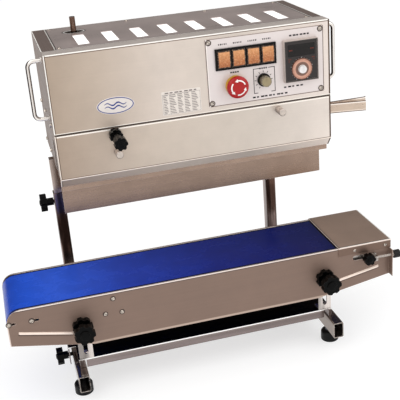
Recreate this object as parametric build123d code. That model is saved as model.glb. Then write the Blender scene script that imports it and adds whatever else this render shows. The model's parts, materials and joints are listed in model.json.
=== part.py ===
from build123d import *
import math
import os

# Continuous band sealer on a stand, with a belt conveyor in front of it. Millimetres, +Z up.
# Modelled with x = 0 at the left end of the head, y = 0 at the head's front face
# (front is -Y) and z = 0 on the floor. Saving moves every piece so that the origin
# is the bottom centre of the whole machine's bounding box.

# --- shared sizes ---
SHEET = 1.5                  # sheet thickness
RUN = 0.05                   # radial running clearance
FIT = 0.06                   # radial clearance of a bore on its shaft
STUD_R = 4.0                 # knob studs and small spindles
STUD_HOLE = STUD_R + 0.08
STUD_BORE = STUD_R + FIT

# --- head ---
HEAD_W, HEAD_D = 581.0, 267.0
HEAD_TOP = 653.4
HEAD_FLOOR = 400.0           # bottom of the side panels and rear cover
SEAM_Z, SEAM_GAP = 493.5, 0.75   # joint of upper panel and lower cover, half its gap
COVER_Z = 399.3              # where the lower cover bends inward
LIP_Y, LIP_Z = 15.3, 380.4   # tip of the cover's inward lip
FLANGE_Y = 38.0              # depth of the front panel's top flange
FLANGE_L, FLANGE_R = 26.6, 20.5  # widths of the side panels' top flanges
LID_X0, LID_X1 = FLANGE_L + 0.2, HEAD_W - FLANGE_R - 0.2
LID_Y0, LID_Y1 = 38.4, 266.8
VENT_X0, VENT_PITCH, VENT_W, VENT_N = 76.5, 59.8, 23.0, 8
VENT_Y0, VENT_Y1 = 63.0, 165.0
ROD_X, ROD_Y, ROD_R, ROD_TOP = 85.0, 205.0, 6.0, 685.0   # upright drive shaft
HANDLE_Y, HANDLE_Z = 52.0, (516.8, 634.2)
PRESS_KNOB_Z = 479.2
COVER_NUTS = [(121.1, 442.4), (465.6, 478.5)]   # x, z

# --- sealing drive ---
SEAL_Y, SEAL_Z = 52.0, 445.0
WHEEL_R = 20.0
BAND_T, BAND_W = 0.7, 16.0
FILM_GAP = 0.6               # gap between the bands
SHAFT_R = 5.0
DRIVE_X, IDLE_X, PRESS_X = 85.0, 515.0, 119.5
PRESS_R = 13.4
SHELF_Z = 490.0              # underside of the mounting plate's shelf
GEAR_N = 28
BAND_OUT = FILM_GAP / 2 + BAND_T     # seal plane to the far face of a band run
FRONT_WHEEL_Y = SEAL_Y - BAND_OUT - RUN - WHEEL_R
REAR_WHEEL_Y = SEAL_Y + BAND_OUT + RUN + WHEEL_R
PRESS_FRONT_Y = SEAL_Y - BAND_OUT - RUN - PRESS_R - 0.05
PRESS_REAR_Y = SEAL_Y + BAND_OUT + RUN + PRESS_R

# --- conveyor ---
CONV_X0, CONV_X1 = -149.6, 638.9
CONV_Y0, CONV_Y1 = -162.7, 0.0
CONV_TOP, CONV_BOTTOM = 217.4, 113.5
CONV_END_L, CONV_END_R = 144.2, 139.5    # bottom heights at the panel ends
TAPER_L, TAPER_R = 10.5, 479.0           # where the bottom tapers begin
CORNER_R = 27.0              # rounded top left corner of the panels
ROLLER_R, BELT_T, AXLE_R = 26.0, 1.5, 5.0
ROLLER_Z, ROLLER_L, ROLLER_X = 189.4, -122.6, 585.6      # axes: height, left, right
BELT_Y0, BELT_Y1 = -157.0, -6.0
END_COVER_X0 = 523.7
SCREW_Y, SCREW_Z, SCREW_R = CONV_Y0 - 8.3, 186.4, 2.5    # tension screw
CLAMP_XS, CLAMP_Z = (-9.7, 492.7), 158.8
CONV_LIFT = 20.0             # travel of the conveyor studs up their bracket slots

# --- base ---
LEG_L, LEG_R = -23.0, 509.0  # cross leg centres
LEG_W, LEG_Z0, LEG_Z1 = 22.0, 29.0, 63.9
LEG_Y0, LEG_Y1 = -194.0, 262.0
FOOT_YS = {"front": -145.0, "rear": 232.0}
TIE_X0, TIE_X1, TIE_Z = -26.0, 507.5, 83.2
TIE_Y0, TIE_Y1 = -161.1, -1.6
LOCK_Y, LOCK_Z = -88.0, 56.0
POST_Y, POST_KNOB_Z = 150.0, 301.0
SLEEVE_W, SLEEVE_TOP = 24.0, 322.0

# --- bounding box of the machine, used to place the origin ---
GUIDE_TIP_X, CLAMP_TIP_Y = 690.0, -206.0
LEFT_X = ROLLER_L - ROLLER_R - RUN - BELT_T
SHIFT = Pos(-(LEFT_X + GUIDE_TIP_X) / 2, -(CLAMP_TIP_Y + HEAD_D + SHEET) / 2, 0)


# --- helpers; blocks and rods take their ends in either order ---
def block(x0, x1, y0, y1, z0, z1):
    centre = Pos((x0 + x1) / 2, (y0 + y1) / 2, (z0 + z1) / 2)
    return centre * Box(abs(x1 - x0), abs(y1 - y0), abs(z1 - z0))


def rod_x(x0, x1, y, z, r):
    return Pos((x0 + x1) / 2, y, z) * Rot(0, 90, 0) * Cylinder(r, abs(x1 - x0))


def rod_y(y0, y1, x, z, r):
    return Pos(x, (y0 + y1) / 2, z) * Rot(90, 0, 0) * Cylinder(r, abs(y1 - y0))


def rod_z(z0, z1, x, y, r):
    return Pos(x, y, (z0 + z1) / 2) * Cylinder(r, abs(z1 - z0))


def poly(points):
    return make_face(Polyline(*[(float(a), float(b)) for a, b in points], close=True))


def extrude_x(sketch, x0, x1):
    """Extrude a (y, z) sketch along X."""
    plane = Plane(origin=(x0, 0, 0), x_dir=(0, 1, 0), z_dir=(1, 0, 0))
    return extrude(plane * sketch, amount=x1 - x0, dir=(1, 0, 0))


def extrude_y(sketch, y0, y1):
    """Extrude an (x, z) sketch along Y."""
    plane = Plane(origin=(0, y0, 0), x_dir=(1, 0, 0), z_dir=(0, -1, 0))
    return extrude(plane * sketch, amount=y1 - y0, dir=(0, 1, 0))


def extrude_z(sketch, z0, z1):
    """Extrude an (x, y) sketch along Z."""
    plane = Plane(origin=(0, 0, z0), x_dir=(1, 0, 0), z_dir=(0, 0, 1))
    return extrude(plane * sketch, amount=z1 - z0, dir=(0, 0, 1))


def level_slot(y0, y1, x0, x1, z, r):
    """Rounded slot cutter through Y, x0 to x1 end to end."""
    ends = rod_y(y0, y1, x0 + r, z, r), rod_y(y0, y1, x1 - r, z, r)
    return block(x0 + r, x1 - r, y0, y1, z - r, z + r) + ends[0] + ends[1]


def upright_slot(y0, y1, x, z0, z1, r):
    """Rounded slot cutter through Y, z0 to z1 end to end."""
    ends = rod_y(y0, y1, x, z0 + r, r), rod_y(y0, y1, x, z1 - r, r)
    return block(x - r, x + r, y0, y1, z0 + r, z1 - r) + ends[0] + ends[1]


def star(radius, lobes):
    """Lobed grip outline: a disc with hollows scalloped round its rim."""
    sketch = Circle(radius)
    hollow_r = radius * math.sin(math.pi / lobes) * 0.62
    reach = radius + hollow_r * 0.4
    for i in range(lobes):
        a = 2 * math.pi * (i + 0.5) / lobes
        sketch -= Pos(reach * math.cos(a), reach * math.sin(a)) * Circle(hollow_r)
    return sketch


def star_y(y0, y1, x, z, radius, lobes=7):
    return Pos(x, 0, z) * extrude_y(star(radius, lobes), y0, y1)


def star_x(x0, x1, y, z, radius):
    return Pos(0, y, z) * extrude_x(star(radius, 7), x0, x1)


def notched(radius, count, reach, notch_r):
    """Disc with small round notches centred at the given reach."""
    sketch = Circle(radius)
    for i in range(count):
        a = 2 * math.pi * i / count
        sketch -= Pos(reach * math.cos(a), reach * math.sin(a)) * Circle(notch_r)
    return sketch


os.makedirs("parts", exist_ok=True)


def save(name, *shapes):
    """Write the solids of the shapes, moved to the machine's origin, as one piece."""
    moved = [SHIFT * solid for shape in shapes for solid in shape.solids()]
    result = moved[0] if len(moved) == 1 else Compound(children=moved)
    result.label = name
    export_step(result, f"parts/{name}.step")


def piece(build):
    """Decorator: build a shape or list of shapes, saved under the function's name."""
    shapes = build()
    save(build.__name__, *(shapes if isinstance(shapes, list) else [shapes]))
    return build


# --- base ---
def cross_leg(x):
    """Hollow bar running front to back."""
    half, wall = LEG_W / 2, 2
    leg = block(x - half, x + half, LEG_Y0, LEG_Y1, LEG_Z0, LEG_Z1)
    leg = fillet(leg.edges().filter_by(Axis.Y), 3.0)
    leg -= block(x - half + wall, x + half - wall, LEG_Y0 - 1, LEG_Y1 + 1,
                 LEG_Z0 + wall, LEG_Z1 - wall)
    for y in FOOT_YS.values():
        leg -= rod_z(LEG_Z0 - 1, LEG_Z0 + 3, x, y, 5.2)
    return leg


# half section of a foot: radius, height
FOOT_PROFILE = [
    (0, 0), (17.4, 0), (18.5, 1.1), (18.5, 18.6), (16.6, 21.6),
    (9.4, 23.2), (9.4, 24), (5.1, 24), (5.1, 58), (0, 58),
]


def foot(x, y):
    plane = Plane(origin=(x, y, 0), x_dir=(1, 0, 0), z_dir=(0, -1, 0))
    pad = revolve(plane * poly(FOOT_PROFILE), axis=Axis((x, y, 0), (0, 0, 1)))
    return pad + Pos(x, y, 24.4) * extrude(RegularPolygon(9, 6), amount=4.4)


for side, leg_x in (("left", LEG_L), ("right", LEG_R)):
    save(f"cross_leg_{side}", cross_leg(leg_x))
    for end, foot_y in FOOT_YS.items():
        save(f"foot_{end}_{side}", foot(leg_x, foot_y))


@piece
def base_tie():
    """Tray across the legs, with a folded tab at its left end."""
    under = TIE_Z - SHEET
    tab_x, tab_y0, tab_y1 = LEG_L - 18, LOCK_Y - 20, LOCK_Y + 20
    tie = block(TIE_X0, TIE_X1, TIE_Y0, TIE_Y1, under, TIE_Z)
    for y in (TIE_Y0, TIE_Y1 - SHEET):
        tie += block(LEG_L + 11.5, LEG_R - 18, y, y + SHEET, LEG_Z1, TIE_Z)
    tie += block(tab_x, TIE_X0 + 1, tab_y0, tab_y1, under, TIE_Z)
    tie += block(tab_x, tab_x + 2, tab_y0, tab_y1, 44, TIE_Z)
    for x0, x1 in ((LEG_L - 2, LEG_L + 8), (LEG_R - 8, LEG_R - 2)):
        tie += block(x0, x1, TIE_Y0, TIE_Y1, LEG_Z1, under)
    return tie - rod_x(LEG_L - 30, LEG_L - 14, LOCK_Y, LOCK_Z, STUD_HOLE)


@piece
def base_lock_knob():
    knob = star_x(LEG_L - 42, LEG_L - 29, LOCK_Y, LOCK_Z, 17.5)
    knob += rod_x(LEG_L - 29, LEG_L - 19, LOCK_Y, LOCK_Z, 8)
    return knob + rod_x(LEG_L - 19, LEG_L - 11.05, LOCK_Y, LOCK_Z, STUD_R)


@piece
def clamp_brackets():
    """Four slotted L brackets standing on the tie."""
    half, plate, foot_len, slot_r = 14, 3, 24, 4.3
    brackets = []
    for x in CLAMP_XS:
        for face, inward in ((TIE_Y0, 1), (TIE_Y1, -1)):
            back = face + inward * plate
            y0, y1 = face - inward, back + inward
            bracket = block(x - half, x + half, face, back, TIE_Z, 190)
            bracket += block(x - half, x + half, face, face + inward * foot_len,
                             TIE_Z, TIE_Z + plate)
            bracket -= upright_slot(y0, y1, x, CLAMP_Z - 4.6, CLAMP_Z + CONV_LIFT + 4.6, slot_r)
            bracket -= upright_slot(y0, y1, x, 94, 128, slot_r)
            hole_y = face + inward * (foot_len / 2 + 4)
            bracket -= rod_z(TIE_Z - 1, TIE_Z + 4, x, hole_y, 3.2)
            brackets.append(bracket)
    return brackets


# inner faces of the cross legs, and the direction from each towards the middle
SLEEVE_FACES = [(LEG_L + LEG_W / 2, 1), (LEG_R - LEG_W / 2, -1)]


@piece
def post_sleeves():
    sleeves = []
    half, wall = SLEEVE_W / 2, 1.9
    for face, inward in SLEEVE_FACES:
        sleeve = block(face, face + inward * SLEEVE_W, POST_Y - half, POST_Y + half,
                       LEG_Z0, SLEEVE_TOP)
        sleeve = fillet(sleeve.edges().filter_by(Axis.Z), 2.5)
        sleeve -= block(face + inward * wall, face + inward * (SLEEVE_W - wall),
                        POST_Y - half + wall, POST_Y + half - wall, LEG_Z0 - 1, SLEEVE_TOP + 1)
        sleeve -= rod_x(face - inward, face + inward * 3, POST_Y, POST_KNOB_Z, STUD_HOLE)
        sleeves.append(sleeve)
    return sleeves


@piece
def head_posts():
    """Square tubes, closed at the top, that slide in the sleeves."""
    posts = []
    for face, inward in SLEEVE_FACES:
        x = face + inward * SLEEVE_W / 2
        post = block(x - 10, x + 10, POST_Y - 10, POST_Y + 10, 150, HEAD_FLOOR)
        post = fillet(post.edges().filter_by(Axis.Z), 1.5)
        post -= block(x - 8, x + 8, POST_Y - 8, POST_Y + 8, 149, HEAD_FLOOR - 4)
        posts.append(post)
    return posts


@piece
def post_lock_knob():
    x = SLEEVE_FACES[0][0]
    knob = star_x(x - 30, x - 16, POST_Y, POST_KNOB_Z, 19.5)
    knob += rod_x(x - 16, x - 1, POST_Y, POST_KNOB_Z, 8.5)
    return knob + rod_x(x - 1, x + 1.95, POST_Y, POST_KNOB_Z, STUD_R)


# --- conveyor ---
def panel_outline():
    outline = poly([
        (CONV_X0, CONV_END_L), (TAPER_L, CONV_BOTTOM), (TAPER_R, CONV_BOTTOM),
        (CONV_X1, CONV_END_R), (CONV_X1, CONV_TOP), (CONV_X0, CONV_TOP),
    ])
    half = CORNER_R / 2
    corner = Pos(CONV_X0 + half, CONV_TOP - half) * Rectangle(CORNER_R, CORNER_R)
    corner -= Pos(CONV_X0 + CORNER_R, CONV_TOP - CORNER_R) * Circle(CORNER_R)
    return outline - corner


def bead(x0, z0, x1, z1):
    """Raised half-round bead on the front panel."""
    y, r = CONV_Y0 + 0.3, 3.2
    length = math.hypot(x1 - x0, z1 - z0)
    angle = -math.degrees(math.atan2(z1 - z0, x1 - x0))
    bar = Rot(0, 90, 0) * Cylinder(r, length)
    shape = Pos((x0 + x1) / 2, y, (z0 + z1) / 2) * Rot(0, angle, 0) * bar
    shape += Pos(x0, y, z0) * Sphere(r)
    shape += Pos(x1, y, z1) * Sphere(r)
    return shape - block(CONV_X0 - 20, CONV_X1 + 20, y + 0.001, y + 10, 60, 260)


def conveyor_panel(face, inward, tab_out, slot_x0, slot_x1, beads=()):
    """Side panel with top flange, end tab, roller boss, axle slot and stud holes."""
    back = face + inward * SHEET
    y0, y1 = face - inward, back + inward
    panel = extrude_y(panel_outline(), *sorted((face, back)))
    panel += block(CONV_X0 + CORNER_R, END_COVER_X0 - 0.5, face, face + inward * 3.2,
                   CONV_TOP - SHEET, CONV_TOP)
    panel += block(CONV_X1 - SHEET, CONV_X1, face - inward * tab_out, back, CONV_END_R, 199.5)
    panel += rod_y(back, face + inward * 4.4, ROLLER_L, ROLLER_Z, 12)
    for raised in beads:
        panel += raised
    panel -= rod_y(back - inward * 0.1, face + inward * 5, ROLLER_L, ROLLER_Z, AXLE_R + FIT)
    panel -= level_slot(y0, y1, slot_x0, slot_x1, ROLLER_Z, 5.3)
    for x in CLAMP_XS:
        panel -= rod_y(y0, y1, x, CLAMP_Z, STUD_HOLE)
    return panel


@piece
def conveyor_panel_front():
    beads = bead(-127.5, 167.5, -31.8, 146.5), bead(522.4, 144.6, 610.4, 160.3)
    panel = conveyor_panel(CONV_Y0, 1, 14.5, 556, 600, beads)
    for x in (ROLLER_L - 21.5, ROLLER_L + 21.5):
        panel -= level_slot(CONV_Y0 - 1, CONV_Y0 + SHEET + 1, x - 2.5, x + 12.5,
                            ROLLER_Z + 1, 2.5)
    return panel - rod_x(CONV_X1 - SHEET - 1, CONV_X1 + 1, SCREW_Y, SCREW_Z, SCREW_R + 0.1)


@piece
def conveyor_panel_rear():
    return conveyor_panel(CONV_Y1, -1, 12, 576, 597)


@piece
def conveyor_bed():
    y0, y1, under = CONV_Y0 + SHEET, CONV_Y1 - SHEET, 213.2
    bed = block(-88, 552, y0, y1, under, under + 2)
    bed += block(-60, 540, y0, y0 + SHEET, 196, under)
    bed += block(-60, 540, y1 - SHEET, y1, 196, under)
    for x in (30, 230, 430):
        bed += rod_y(y0, y1, x, 205.2, 6)
    return bed


def loop_outline(x0, x1, y, r):
    """Filled outline of a loop round two equal wheels."""
    outline = Pos((x0 + x1) / 2, y) * Rectangle(x1 - x0, 2 * r)
    outline += Pos(x0, y) * Circle(r)
    return outline + Pos(x1, y) * Circle(r)


@piece
def conveyor_belt():
    inner = ROLLER_R + RUN
    outer_loop = loop_outline(ROLLER_L, ROLLER_X, ROLLER_Z, inner + BELT_T)
    inner_loop = loop_outline(ROLLER_L, ROLLER_X, ROLLER_Z, inner)
    return extrude_y(outer_loop - inner_loop, BELT_Y0, BELT_Y1)


@piece
def drive_roller():
    end = SHEET + 0.1
    roller = rod_y(BELT_Y0 + 0.5, BELT_Y1 - 0.5, ROLLER_L, ROLLER_Z, ROLLER_R)
    return roller + rod_y(CONV_Y0 + end, CONV_Y1 - end, ROLLER_L, ROLLER_Z, AXLE_R)


@piece
def tail_roller():
    roller = rod_y(BELT_Y0 + 0.5, BELT_Y1 - 0.5, ROLLER_X, ROLLER_Z, ROLLER_R)
    return roller - rod_y(CONV_Y0, CONV_Y1, ROLLER_X, ROLLER_Z, AXLE_R + FIT)


@piece
def tension_carriage():
    """Tail axle with a plate and screw block at its front end."""
    x0, x1, back = ROLLER_X + 12.4, ROLLER_X + 20.4, CONV_Y0 - 2.0
    carriage = rod_y(CONV_Y0 - 2.1, CONV_Y1 + 2, ROLLER_X, ROLLER_Z, AXLE_R)
    carriage += block(ROLLER_X - 8, x1, CONV_Y0 - 4.6, back, ROLLER_Z - 8, ROLLER_Z + 5.5)
    carriage += block(x0, x1, CONV_Y0 - 14.3, back, SCREW_Z - 5, SCREW_Z + 5)
    carriage -= rod_x(ROLLER_X, ROLLER_X + 30, SCREW_Y, SCREW_Z, SCREW_R + 0.05)
    return carriage - rod_y(CONV_Y0 - 6, -148, ROLLER_X, ROLLER_Z, 3.05)


@piece
def tension_screw():
    screw = rod_x(ROLLER_X + 12.6, CONV_X1 + 10, SCREW_Y, SCREW_Z, SCREW_R)
    screw += rod_x(CONV_X1 + 0.1, CONV_X1 + 4, SCREW_Y, SCREW_Z, 5)
    grip = extrude_x(notched(8.5, 16, 8.9, 0.9), CONV_X1 + 4, CONV_X1 + 17)
    return screw + Pos(0, SCREW_Y, SCREW_Z) * grip


@piece
def tail_lock_knob():
    knob = star_y(CONV_Y0 - 22, CONV_Y0 - 9, ROLLER_X, ROLLER_Z, 12.2, 6)
    knob += rod_y(CONV_Y0 - 9, CONV_Y0 - 4.7, ROLLER_X, ROLLER_Z, 7.5)
    return knob + rod_y(CONV_Y0 - 4.7, -150, ROLLER_X, ROLLER_Z, 3)


@piece
def end_cover():
    """Cap over the right end of the conveyor."""
    inner_top = CONV_TOP + 0.2
    cover = block(END_COVER_X0, CONV_X1 + SHEET, CONV_Y0 - SHEET, CONV_Y1 + SHEET,
                  199.8, inner_top + SHEET)
    cover -= block(END_COVER_X0 - 1, CONV_X1, CONV_Y0, CONV_Y1, 190, inner_top)
    for x in (559.4, 627.5):
        cover -= rod_y(CONV_Y0 - 3, CONV_Y0 + 1, x, 208, 2.2)
        cover -= rod_y(CONV_Y1 - 1, CONV_Y1 + 3, x, 208, 2.2)
    return cover


def clamp_knob(x):
    """Two lobed grips in line on one stud."""
    knob = star_y(-174.5, -163.4, x, CLAMP_Z, 20)
    knob += rod_y(-164, CONV_Y0, x, CLAMP_Z, 9)
    knob += rod_y(-191, -174.5, x, CLAMP_Z, 9)
    knob += star_y(-203.5, -191, x, CLAMP_Z, 20.5)
    knob += rod_y(CLAMP_TIP_Y, -203.5, x, CLAMP_Z, 10)
    return knob + rod_y(CONV_Y0, -157.6, x, CLAMP_Z, STUD_R)


save("conveyor_knob_left", clamp_knob(CLAMP_XS[0]))
save("conveyor_knob_right", clamp_knob(CLAMP_XS[1]))

# --- controls on the head's front ---
PLATE_X0, PLATE_X1, PLATE_Z0, PLATE_Z1 = 316.5, 566.3, 505.7, 643.7
SWITCH_X0, SWITCH_X1, SWITCH_Z0, SWITCH_Z1 = 334.9, 463.0, 578.9, 622.4   # switch frame
SWITCH_N = 4
SWITCH_PITCH = (SWITCH_X1 - SWITCH_X0 - 5.0) / SWITCH_N
CELL_HALF_W = (SWITCH_PITCH - 3.0) / 2
CELL_HALF_H = (SWITCH_Z1 - SWITCH_Z0 - 7.0) / 2
SWITCH_XS = [SWITCH_X0 + 2.5 + SWITCH_PITCH * (i + 0.5) for i in range(SWITCH_N)]
SWITCH_Z = (SWITCH_Z0 + SWITCH_Z1) / 2
ESTOP_X, ESTOP_Z = 374.0, 544.3
SPEED_X, SPEED_Z = 434.6, 547.5
TEMP_X0, TEMP_X1, TEMP_Z0, TEMP_Z1 = 477.5, 550.5, 536.0, 621.8   # controller
TEMP_FACE = -13.5
DIAL_X, DIAL_Z = 514.0, 562.0


def switch_cells(y0, y1):
    return [block(x - CELL_HALF_W, x + CELL_HALF_W, y0, y1,
                  SWITCH_Z - CELL_HALF_H, SWITCH_Z + CELL_HALF_H) for x in SWITCH_XS]


def control_cuts(y0, y1):
    return switch_cells(y0, y1) + [
        rod_y(y0, y1, ESTOP_X, ESTOP_Z, 9.0),
        rod_y(y0, y1, SPEED_X, SPEED_Z, STUD_BORE),
        block(TEMP_X0 + 3, TEMP_X1 - 3, y0, y1, TEMP_Z0 + 3, TEMP_Z1 - 3),
    ]


@piece
def front_panel():
    bottom, under = SEAM_Z + SEAM_GAP, HEAD_TOP - SHEET
    panel = extrude_x(poly([
        (0, bottom), (0, HEAD_TOP), (FLANGE_Y, HEAD_TOP),
        (FLANGE_Y, under), (SHEET, under), (SHEET, bottom),
    ]), 0, HEAD_W)
    for cut in control_cuts(-1, SHEET + 1):
        panel -= cut
    return panel


@piece
def control_plate():
    plate = block(PLATE_X0, PLATE_X1, -SHEET, 0, PLATE_Z0, PLATE_Z1)
    plate = fillet(plate.edges().filter_by(Axis.Y), 2.5)
    for cut in control_cuts(-SHEET - 1, 1):
        plate -= cut
    for x in (PLATE_X0 + 7, PLATE_X1 - 7):
        for z in (PLATE_Z0 + 7, PLATE_Z1 - 7):
            plate -= rod_y(-SHEET - 1, 1, x, z, 2.1)
    return plate


@piece
def switch_frame():
    frame = block(SWITCH_X0, SWITCH_X1, -6, -SHEET, SWITCH_Z0, SWITCH_Z1)
    for cell in switch_cells(-7, 0):
        frame -= cell
    return chamfer(frame.faces().sort_by(Axis.Y)[0].outer_wire().edges(), 0.8)


def rocker(x):
    half_h, half_w = CELL_HALF_H - 0.9, CELL_HALF_W - 0.35
    low, high = SWITCH_Z - half_h, SWITCH_Z + half_h
    side = poly([(-1.6, low + 2), (-7.2, low), (-8.6, SWITCH_Z), (-7.2, high), (-1.6, high - 2)])
    hub = rod_x(x - half_w, x + half_w, -3.0, SWITCH_Z, 12)
    hub -= block(x - half_w - 1, x + half_w + 1, -20, -1.7, SWITCH_Z - 20, SWITCH_Z + 20)
    return extrude_x(side, x - half_w, x + half_w) + hub


for number, switch_x in enumerate(SWITCH_XS, 1):
    save(f"rocker_{number}", rocker(switch_x))


@piece
def estop_ring():
    return rod_y(-10, -SHEET, ESTOP_X, ESTOP_Z, 21) - rod_y(-11, 0, ESTOP_X, ESTOP_Z, 8.5)


# half section of the stop button: radius, y
ESTOP_PROFILE = [
    (0, -26.2), (12, -25.7), (18.6, -24.0), (22.3, -21.4), (22.9, -18.6),
    (21.2, -15.6), (10, -14.4), (8.4, -14.4), (8.4, 14), (0, 14),
]


@piece
def estop_button():
    centre = (ESTOP_X, 0, ESTOP_Z)
    plane = Plane(origin=centre, x_dir=(1, 0, 0), z_dir=(0, 0, 1))
    return revolve(plane * poly(ESTOP_PROFILE), axis=Axis(centre, (0, 1, 0)))


@piece
def speed_knob():
    knob = rod_y(-5.5, -SHEET, SPEED_X, SPEED_Z, 13.6)
    knob += rod_y(-21.5, -5.5, SPEED_X, SPEED_Z, 10.6)
    knob += rod_y(-SHEET, 12, SPEED_X, SPEED_Z, STUD_R)
    return knob - block(SPEED_X - 0.7, SPEED_X + 0.7, -22, -20.6, SPEED_Z, SPEED_Z + 11)


@piece
def controller():
    body = block(TEMP_X0, TEMP_X1, TEMP_FACE, -SHEET, TEMP_Z0, TEMP_Z1)
    body = chamfer(body.faces().sort_by(Axis.Y)[0].edges(), 1.2)
    body += block(TEMP_X0 + 3.2, TEMP_X1 - 3.2, -SHEET, 62, TEMP_Z0 + 3.2, TEMP_Z1 - 3.2)
    body -= block(TEMP_X0 + 3, TEMP_X1 - 3, TEMP_FACE - 1, TEMP_FACE + 1,
                  TEMP_Z0 + 3, TEMP_Z1 - 3)
    return body - rod_y(TEMP_FACE - 1, 4, DIAL_X, DIAL_Z, STUD_BORE)


@piece
def temp_dial():
    disc_front, disc_back = TEMP_FACE - 1.2, TEMP_FACE + 0.95
    dial = rod_y(disc_front, disc_back, DIAL_X, DIAL_Z, 22.0)
    dial += rod_y(TEMP_FACE - 6.5, disc_front, DIAL_X, DIAL_Z, 8.2)
    dial += rod_y(disc_back, 2, DIAL_X, DIAL_Z, STUD_R)
    return dial - block(DIAL_X - 0.6, DIAL_X + 0.6, TEMP_FACE - 7, TEMP_FACE - 5.8,
                        DIAL_Z, DIAL_Z + 9)


# --- head shell ---
def side_panel(x, flange_x0, flange_x1):
    """Side panel with a notch at the sealing plane and an inward top flange."""
    panel = block(x, x + SHEET, SHEET, HEAD_D, HEAD_FLOOR, HEAD_TOP - SHEET)
    panel -= block(x - 1, x + SHEET + 1, 38, 66, 399, 470)
    panel += block(flange_x0, flange_x1, FLANGE_Y, HEAD_D, HEAD_TOP - SHEET, HEAD_TOP)
    for z in HANDLE_Z:
        panel -= rod_x(x - 1, x + SHEET + 1, HANDLE_Y, z, 3.0)
    return panel


save("side_panel_left", side_panel(0.0, 0.0, FLANGE_L))
save("side_panel_right", side_panel(HEAD_W - SHEET, HEAD_W - FLANGE_R, HEAD_W))


@piece
def rear_cover():
    y0, y1 = HEAD_D - 1, HEAD_D + SHEET + 1
    cover = block(0, HEAD_W, HEAD_D, HEAD_D + SHEET, HEAD_FLOOR, HEAD_TOP)
    for column in range(10):
        for row in range(3):
            x = 60 + column * 48
            cover -= level_slot(y0, y1, x, x + 30, 560 + row * 14, 2.2)
    return cover - rod_y(y0, y1, 520, 440, 8)


@piece
def lid():
    plate = block(LID_X0, LID_X1, LID_Y0, LID_Y1, HEAD_TOP - SHEET, HEAD_TOP)
    for i in range(VENT_N):
        x = VENT_X0 + i * VENT_PITCH
        plate -= block(x, x + VENT_W, VENT_Y0, VENT_Y1, HEAD_TOP - 3, HEAD_TOP + 1)
    return plate - extrude_z(Pos(ROD_X, ROD_Y) * Ellipse(20, 16), HEAD_TOP - 3, HEAD_TOP + 1)


@piece
def vent_liner():
    top = HEAD_TOP - SHEET
    return block(LID_X0 + 4, LID_X1 - 4, LID_Y0 + 4, 182, top - 1.2, top)


@piece
def carry_handles():
    handles = []
    low, high = HANDLE_Z
    for x, outward in ((0.0, -1), (HEAD_W, 1)):
        grip_x = x + outward * 29.0
        path = FilletPolyline((x, HANDLE_Y, low), (grip_x, HANDLE_Y, low),
                              (grip_x, HANDLE_Y, high), (x, HANDLE_Y, high), radius=12)
        start = Plane(origin=(x, HANDLE_Y, low), z_dir=(outward, 0, 0))
        handle = sweep(start * Circle(4.2), path=path)
        for z in HANDLE_Z:
            handle += rod_x(x, x + outward * 2.2, HANDLE_Y, z, 7)
            handle += rod_x(x, x - outward * 6, HANDLE_Y, z, 2.95)
        handles.append(handle)
    return handles


@piece
def front_cover():
    top = SEAM_Z - SEAM_GAP
    cover = extrude_x(poly([
        (0, top), (0, COVER_Z), (LIP_Y, LIP_Z), (LIP_Y + 1.17, LIP_Z + 0.94),
        (SHEET, COVER_Z + 0.53), (SHEET, top),
    ]), 0, HEAD_W)
    # open-topped notch for the pressure knob
    cover -= block(PRESS_X - 8, PRESS_X + 8, -1, SHEET + 1, PRESS_KNOB_Z, SEAM_Z + 2)
    cover -= rod_y(-1, SHEET + 1, PRESS_X, PRESS_KNOB_Z, 8)
    for x, z in COVER_NUTS:
        cover -= rod_y(-1, SHEET + 1, x, z, 4.1)
    return cover


@piece
def cover_nuts():
    nuts = []
    for x, z in COVER_NUTS:
        nut = rod_y(-2.5, 0, x, z, 6.2) + rod_y(-24, -2.5, x, z, 7.6)
        nut += rod_y(0, 3.0, x, z, STUD_R)
        nuts.append(chamfer(nut.faces().sort_by(Axis.Y)[0].edges(), 1.0))
    return nuts


@piece
def inner_guard():
    return extrude_x(poly([
        (20, 369), (20, 428), (SHEET, 428), (SHEET, 426.5), (18.5, 426.5), (18.5, 369),
    ]), 3, HEAD_W - 3)


@piece
def mounting_plate():
    """Stepped plate: shelf in front, floor behind, with bores for the wheel shafts."""
    plate = extrude_x(poly([
        (SHEET, SHELF_Z), (97, SHELF_Z), (97, 400), (HEAD_D, 400), (HEAD_D, 403),
        (100, 403), (100, SHELF_Z + 3), (SHEET, SHELF_Z + 3),
    ]), SHEET, HEAD_W - SHEET)
    # rear bag guard, folded down from the plate's floor
    plate += extrude_x(poly([
        (63, 303), (64.5, 303), (64.5, 398.5), (130, 398.5), (130, 400), (63, 400),
    ]), 3, HEAD_W - 3)
    for x in (DRIVE_X, IDLE_X):
        for y in (FRONT_WHEEL_Y, REAR_WHEEL_Y):
            plate -= rod_z(SHELF_Z - 1, SHELF_Z + 4, x, y, SHAFT_R + FIT)
    return plate - rod_z(SHELF_Z - 1, SHELF_Z + 4, PRESS_X, PRESS_REAR_Y, STUD_BORE)


@piece
def gearmotor():
    """Gearbox on four legs, with the motor lying to its right."""
    motor = block(45, 125, 46, 232, 520, 588)
    motor -= rod_z(519, 589, ROD_X, ROD_Y, ROD_R + FIT)
    motor -= rod_z(519, 589, DRIVE_X, REAR_WHEEL_Y, SHAFT_R + FIT)
    motor = fillet(motor.edges().filter_by(Axis.Z), 6)
    for y in (222, 110):
        for x in (53, 117):
            motor += block(x - 4, x + 4, y - 4, y + 4, 403, 520)
    motor += rod_x(125, 270, 150, 554, 31) + rod_x(270, 278, 150, 554, 33)
    return motor + block(150, 230, 140, 160, 580, 600)


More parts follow.
